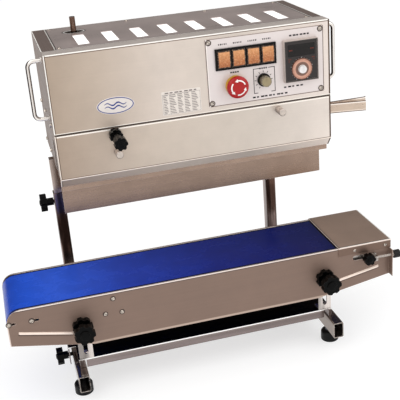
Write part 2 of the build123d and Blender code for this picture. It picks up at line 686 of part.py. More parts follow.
@piece
def drive_shaft():
    shaft = rod_z(506, ROD_TOP, ROD_X, ROD_Y, ROD_R)
    front = ROD_Y - ROD_R
    shaft -= block(ROD_X - 1.4, ROD_X + 1.4, front - 1, front + 2.2, 640, ROD_TOP + 1)
    return shaft + rod_z(506, 514, ROD_X, ROD_Y, 16)


# --- sealing drive ---
# one gear tooth: radius, angle from its centre line in degrees
TOOTH = [(19.4, -4.2), (21.1, -2.7), (22.4, -1.3), (22.4, 1.3), (21.1, 2.7), (19.4, 4.2)]


def gear(x, y, phase):
    points = []
    for i in range(GEAR_N):
        for r, offset in TOOTH:
            a = math.radians(phase + i * 360.0 / GEAR_N + offset)
            points.append((x + r * math.cos(a), y + r * math.sin(a)))
    return extrude_z(poly(points), 498, 508)


def wheel(x, y, top):
    """Band wheel on its shaft, with five round openings."""
    body = rod_z(SEAL_Z - 9, SEAL_Z + 9, x, y, WHEEL_R)
    body += rod_z(SEAL_Z + 9, SEAL_Z + 16, x, y, 10)
    body += rod_z(SEAL_Z - 14, top, x, y, SHAFT_R)
    for i in range(5):
        a = 2 * math.pi * i / 5
        body -= rod_z(SEAL_Z - 10, SEAL_Z + 10, x + 13 * math.cos(a), y + 13 * math.sin(a), 3.4)
    return body


# the rear gear is turned half a tooth to mesh
for side, wheel_y, shaft_top, phase in (
    ("front", FRONT_WHEEL_Y, 512, 90.0),
    ("rear", REAR_WHEEL_Y, 560, -90.0 + 180.0 / GEAR_N),
):
    save(f"band_wheel_{side}_drive",
         wheel(DRIVE_X, wheel_y, shaft_top) + gear(DRIVE_X, wheel_y, phase))
    save(f"band_wheel_{side}_idle", wheel(IDLE_X, wheel_y, 500))


@piece
def sealing_bands():
    bands = []
    inner = WHEEL_R + RUN
    for y in (FRONT_WHEEL_Y, REAR_WHEEL_Y):
        ring = loop_outline(DRIVE_X, IDLE_X, y, inner + BAND_T)
        ring -= loop_outline(DRIVE_X, IDLE_X, y, inner)
        bands.append(extrude_z(ring, SEAL_Z - BAND_W / 2, SEAL_Z + BAND_W / 2))
    return bands


def bar_pair(x0, x1, add_details):
    """Bars behind the two band runs, each hung from the shelf by two hangers."""
    z0, z1 = SEAL_Z - 9, SEAL_Z + 9
    bars = []
    for out in (-1, 1):
        y = SEAL_Y + out * (BAND_OUT + 0.1)
        bar = block(x0, x1, y, y + out * 12, z0, z1)
        for x in (x0 + 12, x1 - 12):
            bar += block(x - 5, x + 5, y + out * 2, y + out * 10, z1, SHELF_Z)
        for detail in add_details(x0, x1, y, out):
            bar += detail
        bars.append(bar)
    return bars


def heater_rods(x0, x1, y, out):
    return [rod_x(x0 - 8, x0, y + out * 6, z, 3) for z in (SEAL_Z - 4, SEAL_Z + 4)]


def cooling_fins(x0, x1, y, out):
    count = 9
    fin_xs = [x0 + 4 + i * (x1 - x0 - 8) / (count - 1) for i in range(count)]
    return [block(x - 1.2, x + 1.2, y + out * 12, y + out * 19, SEAL_Z - 9, SEAL_Z + 9)
            for x in fin_xs]


save("heater_blocks", *bar_pair(330, 440, heater_rods))
save("cooler_blocks", *bar_pair(190, 290, cooling_fins))


def press_wheel(y):
    outline = notched(PRESS_R, 40, PRESS_R + 0.35, 0.75)
    body = extrude_z(Pos(PRESS_X, y) * outline, SEAL_Z - 7, SEAL_Z + 7)
    body += rod_z(SEAL_Z - 7.9, SEAL_Z - 7, PRESS_X, y, 9)
    return body + rod_z(SEAL_Z + 7, SEAL_Z + 7.9, PRESS_X, y, 9)


@piece
def press_wheel_front():
    bore = rod_z(SEAL_Z - 20, SEAL_Z + 20, PRESS_X, PRESS_FRONT_Y, STUD_BORE)
    return press_wheel(PRESS_FRONT_Y) - bore


@piece
def press_wheel_rear():
    return press_wheel(PRESS_REAR_Y) + rod_z(SEAL_Z - 12, 502, PRESS_X, PRESS_REAR_Y, STUD_R)


@piece
def press_carriage():
    """Block above the front press wheel, with the wheel's pin."""
    y, bottom = PRESS_FRONT_Y, 470.2
    carriage = block(PRESS_X - 13, PRESS_X + 13, y - 12, y + 11, bottom, 489.6)
    carriage += rod_z(SEAL_Z - 11, bottom, PRESS_X, y, STUD_R)
    carriage += rod_z(SEAL_Z - 14, SEAL_Z - 11, PRESS_X, y, 6.5)
    return carriage - rod_y(y - 13, y + 4, PRESS_X, PRESS_KNOB_Z, STUD_BORE)


@piece
def pressure_knob():
    knob = star_y(-14.5, -2.4, PRESS_X, PRESS_KNOB_Z, 13.8)
    knob += rod_y(-52, -14.5, PRESS_X, PRESS_KNOB_Z, 8.0)
    knob += star_y(-69, -52, PRESS_X, PRESS_KNOB_Z, 13.6)
    knob += rod_y(-71, -69, PRESS_X, PRESS_KNOB_Z, 7)
    return knob + rod_y(-2.4, PRESS_FRONT_Y + 0.5, PRESS_X, PRESS_KNOB_Z, STUD_R)


@piece
def infeed_guides():
    """Two strips with flared mouths at the right, on hangers from the shelf."""
    top = 460.5
    front = extrude_z(poly([
        (545, 45.2), (598, 45.2), (676, 29.4), (676.4, 30.8), (598.3, 46.7), (545, 46.7),
    ]), 438, top)
    rear = extrude_z(poly([
        (545, 57.3), (684.6, 57.3), (GUIDE_TIP_X, 61.6), (GUIDE_TIP_X, 63.4),
        (684, 58.8), (545, 58.8),
    ]), 434, top)
    x0, x1, z0 = 549, 572, 449
    front += block(x0, x1, 40.5, 45.2, z0, top) + block(x0, x1, 36, 40.5, z0, SHELF_Z)
    rear += block(x0, x1, 58.8, 63, z0, top) + block(x0, x1, 63, 67.5, z0, SHELF_Z)
    return [front, rear]
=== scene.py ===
"""Looks of a tabletop band sealer: a sealing head on posts over a blue belt conveyor.

The machine stands on the floor at z = 0. x runs left to right along the belt, y runs from front
to back and z runs up. "Drawing millimetres" are measured from the left end (x) and the front face
(y) of the head and from the floor (z).
"""
import bpy, bmesh, json, math
from collections import namedtuple
from mathutils import Vector, Matrix


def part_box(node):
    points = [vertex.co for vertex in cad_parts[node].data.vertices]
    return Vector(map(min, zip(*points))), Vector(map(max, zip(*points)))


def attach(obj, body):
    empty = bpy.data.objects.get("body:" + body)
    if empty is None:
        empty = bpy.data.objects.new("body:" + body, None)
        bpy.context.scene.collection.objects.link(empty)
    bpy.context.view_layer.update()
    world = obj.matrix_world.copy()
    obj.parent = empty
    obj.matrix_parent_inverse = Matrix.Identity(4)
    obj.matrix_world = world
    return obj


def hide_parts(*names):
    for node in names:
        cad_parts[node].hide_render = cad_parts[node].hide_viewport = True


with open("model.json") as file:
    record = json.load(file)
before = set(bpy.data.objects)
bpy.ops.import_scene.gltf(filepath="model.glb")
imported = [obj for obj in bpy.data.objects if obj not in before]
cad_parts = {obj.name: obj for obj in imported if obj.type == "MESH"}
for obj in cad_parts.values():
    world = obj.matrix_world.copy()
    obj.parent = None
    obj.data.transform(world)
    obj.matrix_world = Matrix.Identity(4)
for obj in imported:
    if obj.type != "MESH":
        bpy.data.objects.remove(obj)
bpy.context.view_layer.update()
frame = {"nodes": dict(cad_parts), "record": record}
NODE = frame["nodes"]
PIVOT = {
    joint["name"]: Vector(joint["pos_m"])
    for joint in frame["record"]["behaviour"]["joints"] if joint.get("pos_m")
}

head_lo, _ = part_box("front_panel")
ORIGIN = (head_lo.x, head_lo.y, 0.0)
FRONT, BACK, UP = (0, -1, 0), (0, 1, 0), (0, 0, 1)
LEFT, RIGHT = (-1, 0, 0), (1, 0, 0)

Box = namedtuple("Box", "x0 x1 y0 y1 z0 z1")


def at(x, y, z):
    """Point given in drawing millimetres."""
    return Vector((ORIGIN[0] + x * 1e-3, ORIGIN[1] + y * 1e-3, z * 1e-3))


def drawing_box(node):
    """Box of a node in drawing millimetres."""
    lo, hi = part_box(node)
    return Box(*((end[i] - ORIGIN[i]) * 1e3 for i in range(3) for end in (lo, hi)))


def centre(node):
    """Middle of a node in drawing millimetres, as x and z."""
    box = drawing_box(node)
    return (box.x0 + box.x1) / 2, (box.z0 + box.z1) / 2


def linear(channel):
    channel = channel / 255.0
    return channel / 12.92 if channel <= 0.04045 else ((channel + 0.055) / 1.055) ** 2.4


def srgb(red, green, blue):
    """Linear RGBA of an sRGB colour given as 0 to 255."""
    return (linear(red), linear(green), linear(blue), 1.0)


# ---------------------------------------------------------------- shader graphs
MATERIALS = {}


class Graph:
    """A node tree. Inputs take sockets, numbers, linear RGBA or sRGB triples of 0 to 255."""

    def __init__(self, tree):
        self.tree = tree
        tree.nodes.clear()

    def node(self, kind, **settings):
        node = self.tree.nodes.new(kind)
        for name, value in settings.items():
            setattr(node, name, value)
        return node

    def feed(self, socket, value):
        if hasattr(value, "is_output"):
            self.tree.links.new(value, socket)
        elif isinstance(value, tuple) and len(value) == 3:
            socket.default_value = srgb(*value)
        else:
            socket.default_value = value

    def coord(self, space):
        return self.node("ShaderNodeTexCoord").outputs[space]

    def separate(self, vector):
        node = self.node("ShaderNodeSeparateXYZ")
        self.feed(node.inputs[0], vector)
        return node.outputs

    def math(self, operation, a, b=0.0, clamp=False):
        node = self.node("ShaderNodeMath", operation=operation, use_clamp=clamp)
        self.feed(node.inputs[0], a)
        self.feed(node.inputs[1], b)
        return node.outputs[0]

    def add(self, a, b):
        return self.math("ADD", a, b)

    def subtract(self, a, b):
        return self.math("SUBTRACT", a, b)

    def multiply(self, a, b):
        return self.math("MULTIPLY", a, b)

    def hypot(self, a, b):
        return self.math("SQRT", self.add(self.multiply(a, a), self.multiply(b, b)))

    def remap(self, value, start, end, low=0.0, high=1.0, smooth=False):
        """low at start, high at end, held level beyond both."""
        node = self.node("ShaderNodeMapRange")
        node.interpolation_type = "SMOOTHSTEP" if smooth else "LINEAR"
        self.feed(node.inputs[0], value)
        for socket, number in zip(node.inputs[1:5], (start, end, low, high)):
            socket.default_value = number
        return node.outputs[0]

    def window(self, value, low_out, low_in, high_out, high_in):
        """1 between low_in and high_in, fading to 0 at low_out and high_out."""
        rise = self.remap(value, low_out, low_in)
        return self.multiply(rise, self.remap(value, high_out, high_in))

    def mix(self, factor, a, b, mode="MIX"):
        node = self.node("ShaderNodeMix", data_type="RGBA", blend_type=mode)
        for index, value in ((0, factor), (6, a), (7, b)):
            self.feed(node.inputs[index], value)
        return node.outputs[2]

    def ramp(self, factor, stops):
        """Colour ramp through stops of (place 0 to 1, sRGB colour)."""
        node = self.node("ShaderNodeValToRGB")
        self.feed(node.inputs[0], factor)
        elements = node.color_ramp.elements
        while len(elements) < len(stops):
            elements.new(0.5)
        for element, (place, colour) in zip(elements, stops):
            element.position = place
            element.color = srgb(*colour)
        return node.outputs[0]


class Material(Graph):
    """A principled material; point is the place on the object."""

    def __init__(self, name):
        material = bpy.data.materials.new(name)
        material.use_nodes = True
        super().__init__(material.node_tree)
        output = self.node("ShaderNodeOutputMaterial")
        self.shader = self.node("ShaderNodeBsdfPrincipled")
        self.feed(output.inputs[0], self.shader.outputs[0])
        self.point = self.coord("Object")
        MATERIALS[name] = material

    def surface(self, inputs):
        for name, value in inputs.items():
            self.feed(self.shader.inputs[name], value)

    def mapped(self, stretch=(1, 1, 1), shift=(0, 0, 0)):
        node = self.node("ShaderNodeMapping")
        self.feed(node.inputs[0], self.point)
        node.inputs["Scale"].default_value = stretch
        node.inputs["Location"].default_value = shift
        return node.outputs[0]

    def noise(self, scale, detail=4, roughness=0.6, distortion=0.0, **mapping):
        vector = self.mapped(**mapping)
        node = self.node("ShaderNodeTexNoise")
        self.feed(node.inputs["Vector"], vector)
        node.inputs["Scale"].default_value = scale
        node.inputs["Detail"].default_value = detail
        node.inputs["Roughness"].default_value = roughness
        node.inputs["Distortion"].default_value = distortion
        return node.outputs[0]

    def wave(self, axis, scale):
        node = self.node("ShaderNodeTexWave", wave_type="BANDS", bands_direction=axis)
        self.feed(node.inputs["Vector"], self.mapped())
        node.inputs["Scale"].default_value = scale
        return node.outputs[1]

    def spread(self, noise, low, high):
        """Stretches the middle of a noise over low to high."""
        return self.remap(noise, 0.3, 0.7, low, high)

    def shade(self, colour, factor):
        """Multiplies a colour by a number."""
        node = self.node("ShaderNodeCombineXYZ")
        for socket in node.inputs:
            self.feed(socket, factor)
        return self.mix(1.0, colour, node.outputs[0], "MULTIPLY")

    def mottle(self, colour, noise, low, high):
        return self.shade(colour, self.spread(noise, low, high))

    def normal(self):
        return self.separate(self.node("ShaderNodeNewGeometry").outputs["Normal"])

    def bump(self, height, strength, distance):
        node = self.node("ShaderNodeBump")
        node.inputs["Strength"].default_value = strength
        node.inputs["Distance"].default_value = distance
        self.feed(node.inputs["Height"], height)
        self.feed(self.shader.inputs["Normal"], node.outputs[0])

    def edge(self, radius=0.0012):
        """0 on flats, 1 on outer edges, where wear and a painted highlight go."""
        bevel = self.node("ShaderNodeBevel", samples=4)
        bevel.inputs[0].default_value = radius
        geometry = self.node("ShaderNodeNewGeometry")
        dot = self.node("ShaderNodeVectorMath", operation="DOT_PRODUCT")
        self.feed(dot.inputs[0], bevel.outputs[0])
        self.feed(dot.inputs[1], geometry.outputs["Normal"])
        turn = self.math("SUBTRACT", 1.0, dot.outputs["Value"], clamp=True)
        return self.remap(turn, 0.02, 0.30, smooth=True)

    # Brightens outer edges: wear and a painted highlight together.
    def wear(self, colour, edge_colour, amount, radius=0.0012):
        return self.mix(self.multiply(self.edge(radius), amount), colour, edge_colour)

    def around(self, node, place):
        """Distance and angle of place about a node's middle, seen from the front."""
        lo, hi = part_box(node)
        dx = self.subtract(place[0], (lo.x + hi.x) / 2)
        dz = self.subtract(place[2], (lo.z + hi.z) / 2)
        return self.hypot(dx, dz), self.math("ARCTAN2", dx, dz)


# ---------------------------------------------------------------- painted light and shade
STRIP_BLUR = 0.00025  # half the soft edge of a strip, in metres


def paint(k, colour, strips):
    """Lays strips of painted highlight and painted shade on the faces that look to the named side."""
    place = k.separate(k.point)
    if any(strip[0] != "any" for strip in strips):
        normal = k.normal()
    for side, axis, start, end, tone in strips:
        index = "xyz".index(axis)
        lo = ORIGIN[index] + start * 1e-3
        hi = ORIGIN[index] + end * 1e-3
        mask = k.window(place[index], lo - STRIP_BLUR, lo + STRIP_BLUR,
                        hi + STRIP_BLUR, hi - STRIP_BLUR)
        if side == "front":
            mask = k.multiply(mask, k.remap(normal[1], -0.5, -0.7))
        elif side == "top":
            mask = k.multiply(mask, k.remap(normal[2], 0.5, 0.7))
        colour = k.mix(mask, colour, tone)
    return colour


def paint_bead(k, colour, x0, z0, x1, z1, half_width):
    """Light on the upper flank of a raised bead on the front, shade on its lower flank."""
    length = math.hypot(x1 - x0, z1 - z0)
    ux, uz = (x1 - x0) / length, (z1 - z0) / length
    place = k.separate(k.point)
    dx = k.subtract(k.multiply(k.subtract(place[0], ORIGIN[0]), 1000.0), x0)
    dz = k.subtract(k.multiply(place[2], 1000.0), z0)
    along = k.add(k.multiply(dx, ux), k.multiply(dz, uz))
    across = k.subtract(k.multiply(dz, ux), k.multiply(dx, uz))
    front = k.remap(k.normal()[1], 0.2, -0.1)
    far = length + half_width
    reach = k.multiply(k.window(along, -half_width - 0.2, -half_width + 0.4,
                                far + 0.2, far - 0.4), front)
    light = k.multiply(k.window(across, -0.7, -0.2, half_width + 0.6, half_width + 0.1), reach)
    dark = k.multiply(k.window(across, -half_width - 1.3, -half_width - 0.8, -0.7, -1.2), reach)
    colour = k.mix(dark, colour, (70, 50, 42))
    return k.mix(light, colour, (250, 232, 220))


def paint_ring(k, colour, x, y, half_x, half_y, inner, outer, tone):
    """Ring of another tone, for painted highlight and painted shade, about an ellipse seen from above;
    inner and outer scale the ellipse.
    """
    place = k.separate(k.point)
    dx = k.math("DIVIDE", k.subtract(place[0], ORIGIN[0] + x * 1e-3), half_x * 1e-3)
    dy = k.math("DIVIDE", k.subtract(place[1], ORIGIN[1] + y * 1e-3), half_y * 1e-3)
    mask = k.window(k.hypot(dx, dy), inner - 0.01, inner + 0.01, outer + 0.01, outer - 0.01)
    return k.mix(mask, colour, tone)


# Strips of painted highlights and painted shade lines: side, axis measured along, from and to in
# drawing millimetres, sRGB tone.
# Near-white tone of the painted highlight lines on bends and edges.
HIGHLIGHT_WHITE = (255, 252, 246)
# Front panel: painted highlight lines on the top bend and edges, painted shade lines beside them and in
# the seam over the cover, and painted light on the top flange.
HEAD_STRIPS = [
    ("front", "z", 649.4, 651.2, (120, 100, 88)), ("front", "z", 651.2, 654, HIGHLIGHT_WHITE),
    ("front", "x", 0, 2.0, HIGHLIGHT_WHITE), ("front", "x", 2.0, 3.6, (96, 76, 62)),
    ("front", "x", 577.6, 582, (84, 64, 52)), ("front", "z", 493, 495.6, (50, 36, 28)),
    ("front", "z", 495.6, 497.0, (250, 242, 232)), ("top", "y", 1.5, 34.0, (214, 204, 197)),
    ("top", "y", 34.0, 36.2, (120, 104, 98)), ("top", "y", 36.2, 40, HIGHLIGHT_WHITE),
    ("top", "y", -1, 1.5, HIGHLIGHT_WHITE),
]
# Lower cover: painted shade in the seam under the front panel and at the right edge, painted highlight
# lines at the seam, the left edge and the bottom bend.
COVER_STRIPS = [
    ("front", "z", 491.6, 494, (50, 36, 28)), ("front", "z", 488.8, 491.6, (252, 244, 234)),
    ("front", "x", 0, 2.0, (244, 232, 220)), ("front", "x", 2.0, 3.6, (96, 76, 62)),
    ("front", "x", 577.6, 582, (84, 64, 52)), ("front", "z", 399, 401.0, (250, 238, 226)),
    ("front", "z", 401.0, 402.4, (120, 98, 84)),
]
lid = drawing_box("lid")
# Lid: painted highlight lines along its edges and painted shade lines at the gaps to the flanges round
# it.
LID_STRIPS = [
    ("top", "x", lid.x0 - 1, lid.x0 + 2.2, HIGHLIGHT_WHITE),
    ("top", "x", lid.x0 + 2.2, lid.x0 + 4.4, (70, 58, 54)),
    ("top", "x", lid.x1 - 2.2, lid.x1 + 1, HIGHLIGHT_WHITE),
    ("top", "x", lid.x1 - 4.4, lid.x1 - 2.2, (70, 58, 54)),
    ("top", "y", lid.y0 + 2.0, lid.y0 + 4.2, (74, 62, 58)),
    ("top", "y", lid.y0 - 1, lid.y0 + 2.0, (240, 230, 224)),
    ("top", "y", lid.y1 - 4.4, lid.y1 - 2.4, (70, 58, 54)),
    ("top", "y", lid.y1 - 2.4, lid.y1 + 2, HIGHLIGHT_WHITE),
]
# Side panels: painted shade on the top flanges with painted highlights at their ends, and painted shade
# and highlight lines along the top and front edges.
SIDE_STRIPS = [
    ("top", "x", 1.8, 579.2, (112, 98, 92)), ("top", "x", -1, 1.8, HIGHLIGHT_WHITE),
    ("top", "x", 579.2, 582, HIGHLIGHT_WHITE), ("any", "z", 650.6, 652.2, (74, 60, 54)),
    ("any", "y", 0, 2.2, (150, 134, 124)), ("any", "y", 2.2, 4.4, (66, 52, 46)),
    ("any", "y", 9.0, 11.0, (196, 184, 176)),
]
conveyor_panel = drawing_box("conveyor_panel_front")
# Conveyor panels: painted highlight along the bottom flange, the top edge, the left end and the top
# rim, and a painted shade line below the belt's edge.
CONVEYOR_STRIPS = [
    ("front", "z", conveyor_panel.z0 - 1, conveyor_panel.z0 + 4.4, (186, 164, 150)),
    ("front", "z", 215.6, 218, (248, 236, 228)), ("front", "z", 213.6, 215.6, (104, 86, 78)),
    ("front", "x", -150, -147.6, (226, 208, 198)), ("top", "y", -164, -158, (206, 192, 186)),
]
end_cover = drawing_box("end_cover")
# End cover: painted highlights on its bends and edges, painted shade lines beside them, and its front
# face painted darker as shade.
END_COVER_STRIPS = [
    ("top", "y", end_cover.y0 - 1, end_cover.y0 + 2.0, HIGHLIGHT_WHITE),
    ("top", "y", end_cover.y0 + 2.0, end_cover.y0 + 3.8, (84, 68, 60)),
    ("top", "x", end_cover.x1 - 2.4, end_cover.x1 + 1, HIGHLIGHT_WHITE),
    ("top", "x", end_cover.x0 - 1, end_cover.x0 + 1.8, (232, 216, 206)),
    ("top", "x", end_cover.x0 + 1.8, end_cover.x0 + 3.4, (70, 56, 50)),
    ("front", "z", end_cover.z0 - 1, end_cover.z1 - 2.4, (118, 96, 84)),
    ("front", "z", end_cover.z1 - 2.4, end_cover.z1 + 1, (240, 224, 214)),
]
plate = drawing_box("control_plate")
# Control plate: painted shade lines round its edges and a painted highlight line inside the left edge.
PLATE_STRIPS = [
    ("front", "x", plate.x0 - 1, plate.x0 + 1.5, (96, 78, 70)),
    ("front", "x", plate.x1 - 1.6, plate.x1 + 1, (110, 92, 84)),
    ("front", "z", plate.z0 - 1, plate.z0 + 1.6, (120, 102, 94)),
    ("front", "z", plate.z1 - 1.4, plate.z1 + 1, (140, 122, 112)),
    ("front", "x", plate.x0 + 1.5, plate.x0 + 3.2, (244, 236, 230)),
]
guide_bottom = drawing_box("infeed_guides").z0
# Infeed guides: painted shade and painted highlight bands along their edges.
GUIDE_STRIPS = [
    ("any", "z", 459.0, 462, (92, 70, 58)), ("any", "z", 456.6, 459.0, (250, 238, 228)),
    ("any", "z", guide_bottom - 1, 439.8, (96, 74, 60)), ("any", "z", 439.8, 441.8, (240, 224, 210)),
]
# Base tie: a painted highlight along its top front edge and painted shade lines below it.
TIE_STRIPS = [
    ("front", "z", 80.6, 84, (255, 253, 252)), ("front", "z", 77.8, 80.6, (142, 130, 126)),
    ("front", "z", 63, 65.4, (112, 100, 96)),
]
# Belt: painted shade along both edges and a painted shadow line where the belt runs under the end
# cover.
BELT_STRIPS = [
    ("top", "y", -158, -153.6, (10, 14, 48)), ("top", "y", -9.5, -5, (10, 14, 48)),
    ("top", "x", end_cover.x0 - 3.0, end_cover.x0 + 2, (5, 8, 26)),
]
# Beads with painted light and shade: x and z of both ends, half width.
CONVEYOR_BEADS = ((-127.5, 167.5, -31.8, 146.5, 3.2), (522.4, 144.6, 610.4, 160.3, 3.2))
# Rings of painted highlight and painted shade round the hole in the lid: x, y, half axes along x and y,
# inner and outer scale, tone.
LID_RINGS = ((85, 205, 20, 16, 1.0, 1.16, (255, 252, 248)), (85, 205, 20, 16, 1.16, 1.30, (70, 58, 54)))
# Painted light falling across the front sheets, darker to the left: drawing millimetres along x, tone.
HEAD_LIGHT_FALLOFF = ((0, (173, 155, 138)), (100, (192, 176, 161)), (220, (214, 201, 190)),
                 (400, (214, 203, 193)), (581, (229, 217, 209)))
COVER_LIGHT_FALLOFF = ((0, (168, 149, 132)), (200, (203, 189, 175)), (420, (208, 197, 186)),
                  (581, (226, 215, 206)))


# ---------------------------------------------------------------- material families
def grain_scale(axis):
    """Noise stretched along axis, as brushing leaves it."""
    scale = [260.0, 260.0, 260.0]
    scale["xyz".index(axis)] = 3.0
    return tuple(scale)


def brushed(name, colour, roughness, axis="x", metal=0.85, smudge=0.10, grain=0.10, painted_light_falloff=(),
            edge_colour=(0.95, 0.93, 0.90, 1), edge_wear_and_highlight=0.55, specular=0.5,
            strips=(), beads=(), rings=()):
    """Brushed sheet: long grain, soft smudges, edges brightened for wear and as a painted highlight;
    painted light as a falloff along x and as strips, beads and rings.
    """
    k = Material(name)
    if painted_light_falloff:
        places = [ORIGIN[0] + x * 1e-3 for x, _ in painted_light_falloff]
        start, end = places[0], places[-1]
        along = k.remap(k.separate(k.point)[0], start, end)
        colour = k.ramp(along, [((place - start) / (end - start), tone)
                                for place, (_, tone) in zip(places, painted_light_falloff)])
    stretch = grain_scale(axis)
    coarse = k.noise(scale=1.0, detail=6, roughness=0.65, stretch=stretch)
    fine = k.noise(scale=1.0, detail=3, stretch=tuple(s * 3.1 for s in stretch), shift=(3, 1, 7))
    smudges = k.noise(scale=7.0, detail=5, distortion=0.4)
    spots = k.noise(scale=38.0, roughness=0.55, shift=(5, 2, 9))
    tone = k.multiply(k.spread(coarse, 1.0 - grain, 1.0 + grain),
                      k.spread(smudges, 1.0 - smudge, 1.0 + smudge * 0.7))
    tone = k.multiply(tone, k.spread(spots, 1.0 - smudge * 0.3, 1.0 + smudge * 0.25))
    colour = k.wear(k.shade(colour, tone), edge_colour, edge_wear_and_highlight)
    if strips:
        colour = paint(k, colour, strips)
    for bead in beads:
        colour = paint_bead(k, colour, *bead)
    for ring in rings:
        colour = paint_ring(k, colour, *ring)
    k.surface({
        "Base Color": colour,
        "Metallic": metal,
        "Specular IOR Level": specular,
        "Roughness": k.add(k.spread(coarse, roughness - 0.06, roughness + 0.07),
                           k.spread(smudges, -0.04, 0.05)),
    })
    height = k.add(k.multiply(fine, 0.6), k.multiply(coarse, 0.8))
    k.bump(height, strength=0.25, distance=0.00006)


def polished(name, bright, dark, axis, streak, roughness, amount, edge_wear_and_highlight,
             painted_dark_reflection_top=None, strips=()):
    """Mirror polish: painted reflection as broad light and dark bands along axis, fine hairlines,
    bright edges for wear and a painted highlight.
    """
    k = Material(name)
    stretch = [streak] * 3
    stretch["xyz".index(axis)] = streak * 0.12
    bands = k.noise(scale=1.0, detail=3, roughness=0.5, distortion=0.6, stretch=tuple(stretch))
    colour = k.mix(k.remap(bands, 0.40, 0.62, 0.0, amount, smooth=True), bright, dark)
    hairlines = k.noise(scale=1.0, detail=5, stretch=grain_scale(axis))
    colour = k.mottle(colour, hairlines, 0.92, 1.06)
    # painted dark reflection on faces that look up
    if painted_dark_reflection_top:
        colour = k.mix(k.remap(k.normal()[2], 0.6, 0.9, smooth=True), colour, painted_dark_reflection_top)
    colour = k.wear(colour, (0.93, 0.92, 0.90, 1), edge_wear_and_highlight, radius=0.0010)
    if strips:
        colour = paint(k, colour, strips)
    k.surface({
        "Base Color": colour,
        "Metallic": 0.95,
        "Roughness": k.spread(hairlines, roughness - 0.03, roughness + 0.06),
    })
    k.bump(hairlines, strength=0.12, distance=0.00004)


def plastic(name, colour, roughness, drift, pebble, pebble_scale, specular,
            edge_colour=None, edge_wear_and_highlight=0.35, coat=0.0, glow=0.0):
    """Moulded plastic, rubber or print: fine pebble, slight colour drift, rubbed edges brightened as
    wear and a painted highlight; glow is painted light.
    """
    k = Material(name)
    patches = k.noise(scale=60.0)
    pebbles = k.noise(scale=pebble_scale, detail=2, roughness=0.5)
    colour = k.mottle(colour, patches, 1 - drift, 1 + drift)
    if edge_colour:
        colour = k.wear(colour, edge_colour, edge_wear_and_highlight)
    k.surface({
        "Base Color": colour,
        "Specular IOR Level": specular,
        "Roughness": k.spread(patches, roughness - 0.05, roughness + 0.08),
        "Coat Weight": coat,
        "Coat Roughness": 0.08,
        "Emission Strength": glow,
    })
    k.bump(pebbles, strength=pebble, distance=0.0001)


# Large steel sheets share one metalness.
SHEET_METAL = 0.66
brushed("steel_head_front", None, roughness=0.38, metal=SHEET_METAL, smudge=0.07, grain=0.022,
        painted_light_falloff=HEAD_LIGHT_FALLOFF, strips=HEAD_STRIPS)
brushed("steel_cover", None, roughness=0.38, metal=SHEET_METAL, smudge=0.08, grain=0.022,
        painted_light_falloff=COVER_LIGHT_FALLOFF, strips=COVER_STRIPS)
brushed("steel_lid", (186, 172, 168), roughness=0.34, metal=SHEET_METAL, smudge=0.12, grain=0.05,
        strips=LID_STRIPS, rings=LID_RINGS)
# Side panels: the same steel as the front in a darker tone, painted shade on the sides turned from the
# light.
brushed("steel_side_painted_shade", (120, 102, 92), roughness=0.44, axis="y", metal=0.40, smudge=0.14,
        grain=0.05, specular=0.15, strips=SIDE_STRIPS)
brushed("steel_conveyor", (130, 108, 96), roughness=0.46, metal=0.42, smudge=0.06, grain=0.05,
        edge_colour=(236, 214, 202), edge_wear_and_highlight=0.85, strips=CONVEYOR_STRIPS, beads=CONVEYOR_BEADS)
brushed("steel_end_cover", (174, 150, 135), roughness=0.34, metal=SHEET_METAL, smudge=0.07,
        grain=0.05, edge_colour=(232, 214, 204), edge_wear_and_highlight=0.8, strips=END_COVER_STRIPS)
brushed("satin_control_plate", (224, 214, 211), roughness=0.45, metal=0.25, smudge=0.03,
        grain=0.012, strips=PLATE_STRIPS)
brushed("steel_rear", (196, 182, 170), roughness=0.38, metal=SHEET_METAL, smudge=0.08, grain=0.03)
brushed("steel_inner", (156, 133, 118), roughness=0.24, metal=0.8, smudge=0.16, grain=0.05)
brushed("steel_bed", (110, 95, 88), roughness=0.38)
brushed("steel_guide", (206, 186, 168), roughness=0.30, metal=SHEET_METAL, smudge=0.16,
        grain=0.04, strips=GUIDE_STRIPS)
brushed("roller_steel", (170, 165, 160), roughness=0.25)
brushed("wheel_steel", (150, 146, 142), roughness=0.28, axis="z")
brushed("block_aluminium", (190, 190, 192), roughness=0.35)
brushed("block_brass", (190, 150, 85), roughness=0.30)

# The tie's top is painted near black, a painted reflection of the conveyor's dark underside.
polished("polished_tie", (142, 130, 128), (84, 74, 70), axis="x", streak=12.0, roughness=0.2,
         amount=0.4, edge_wear_and_highlight=0.9, painted_dark_reflection_top=(6, 6, 8), strips=TIE_STRIPS)
# name, bright and dark tones of the painted reflection bands, axis of the bands, band scale, roughness,
# amount of dark, edge wear and highlight
for row in (
    ("polished_leg", (158, 146, 138), (14, 11, 10), "y", 26.0, 0.12, 0.95, 1.0),
    ("polished_post", (150, 130, 124), (44, 32, 30), "z", 46.0, 0.14, 0.85, 0.9),
    ("polished_inner_post", (184, 168, 158), (98, 82, 76), "z", 46.0, 0.14, 0.6, 0.9),
    ("polished_bracket", (222, 213, 207), (30, 24, 22), "z", 34.0, 0.12, 0.75, 0.9),
    ("chrome_nut", (222, 214, 206), (60, 48, 42), "y", 150.0, 0.14, 0.6, 0.7),
    ("screw_steel", (214, 202, 190), (46, 38, 34), "y", 420.0, 0.2, 0.75, 0.5),
    ("shaft_steel", (104, 78, 64), (22, 14, 12), "z", 90.0, 0.2, 0.85, 0.3),
):
    polished(*row)

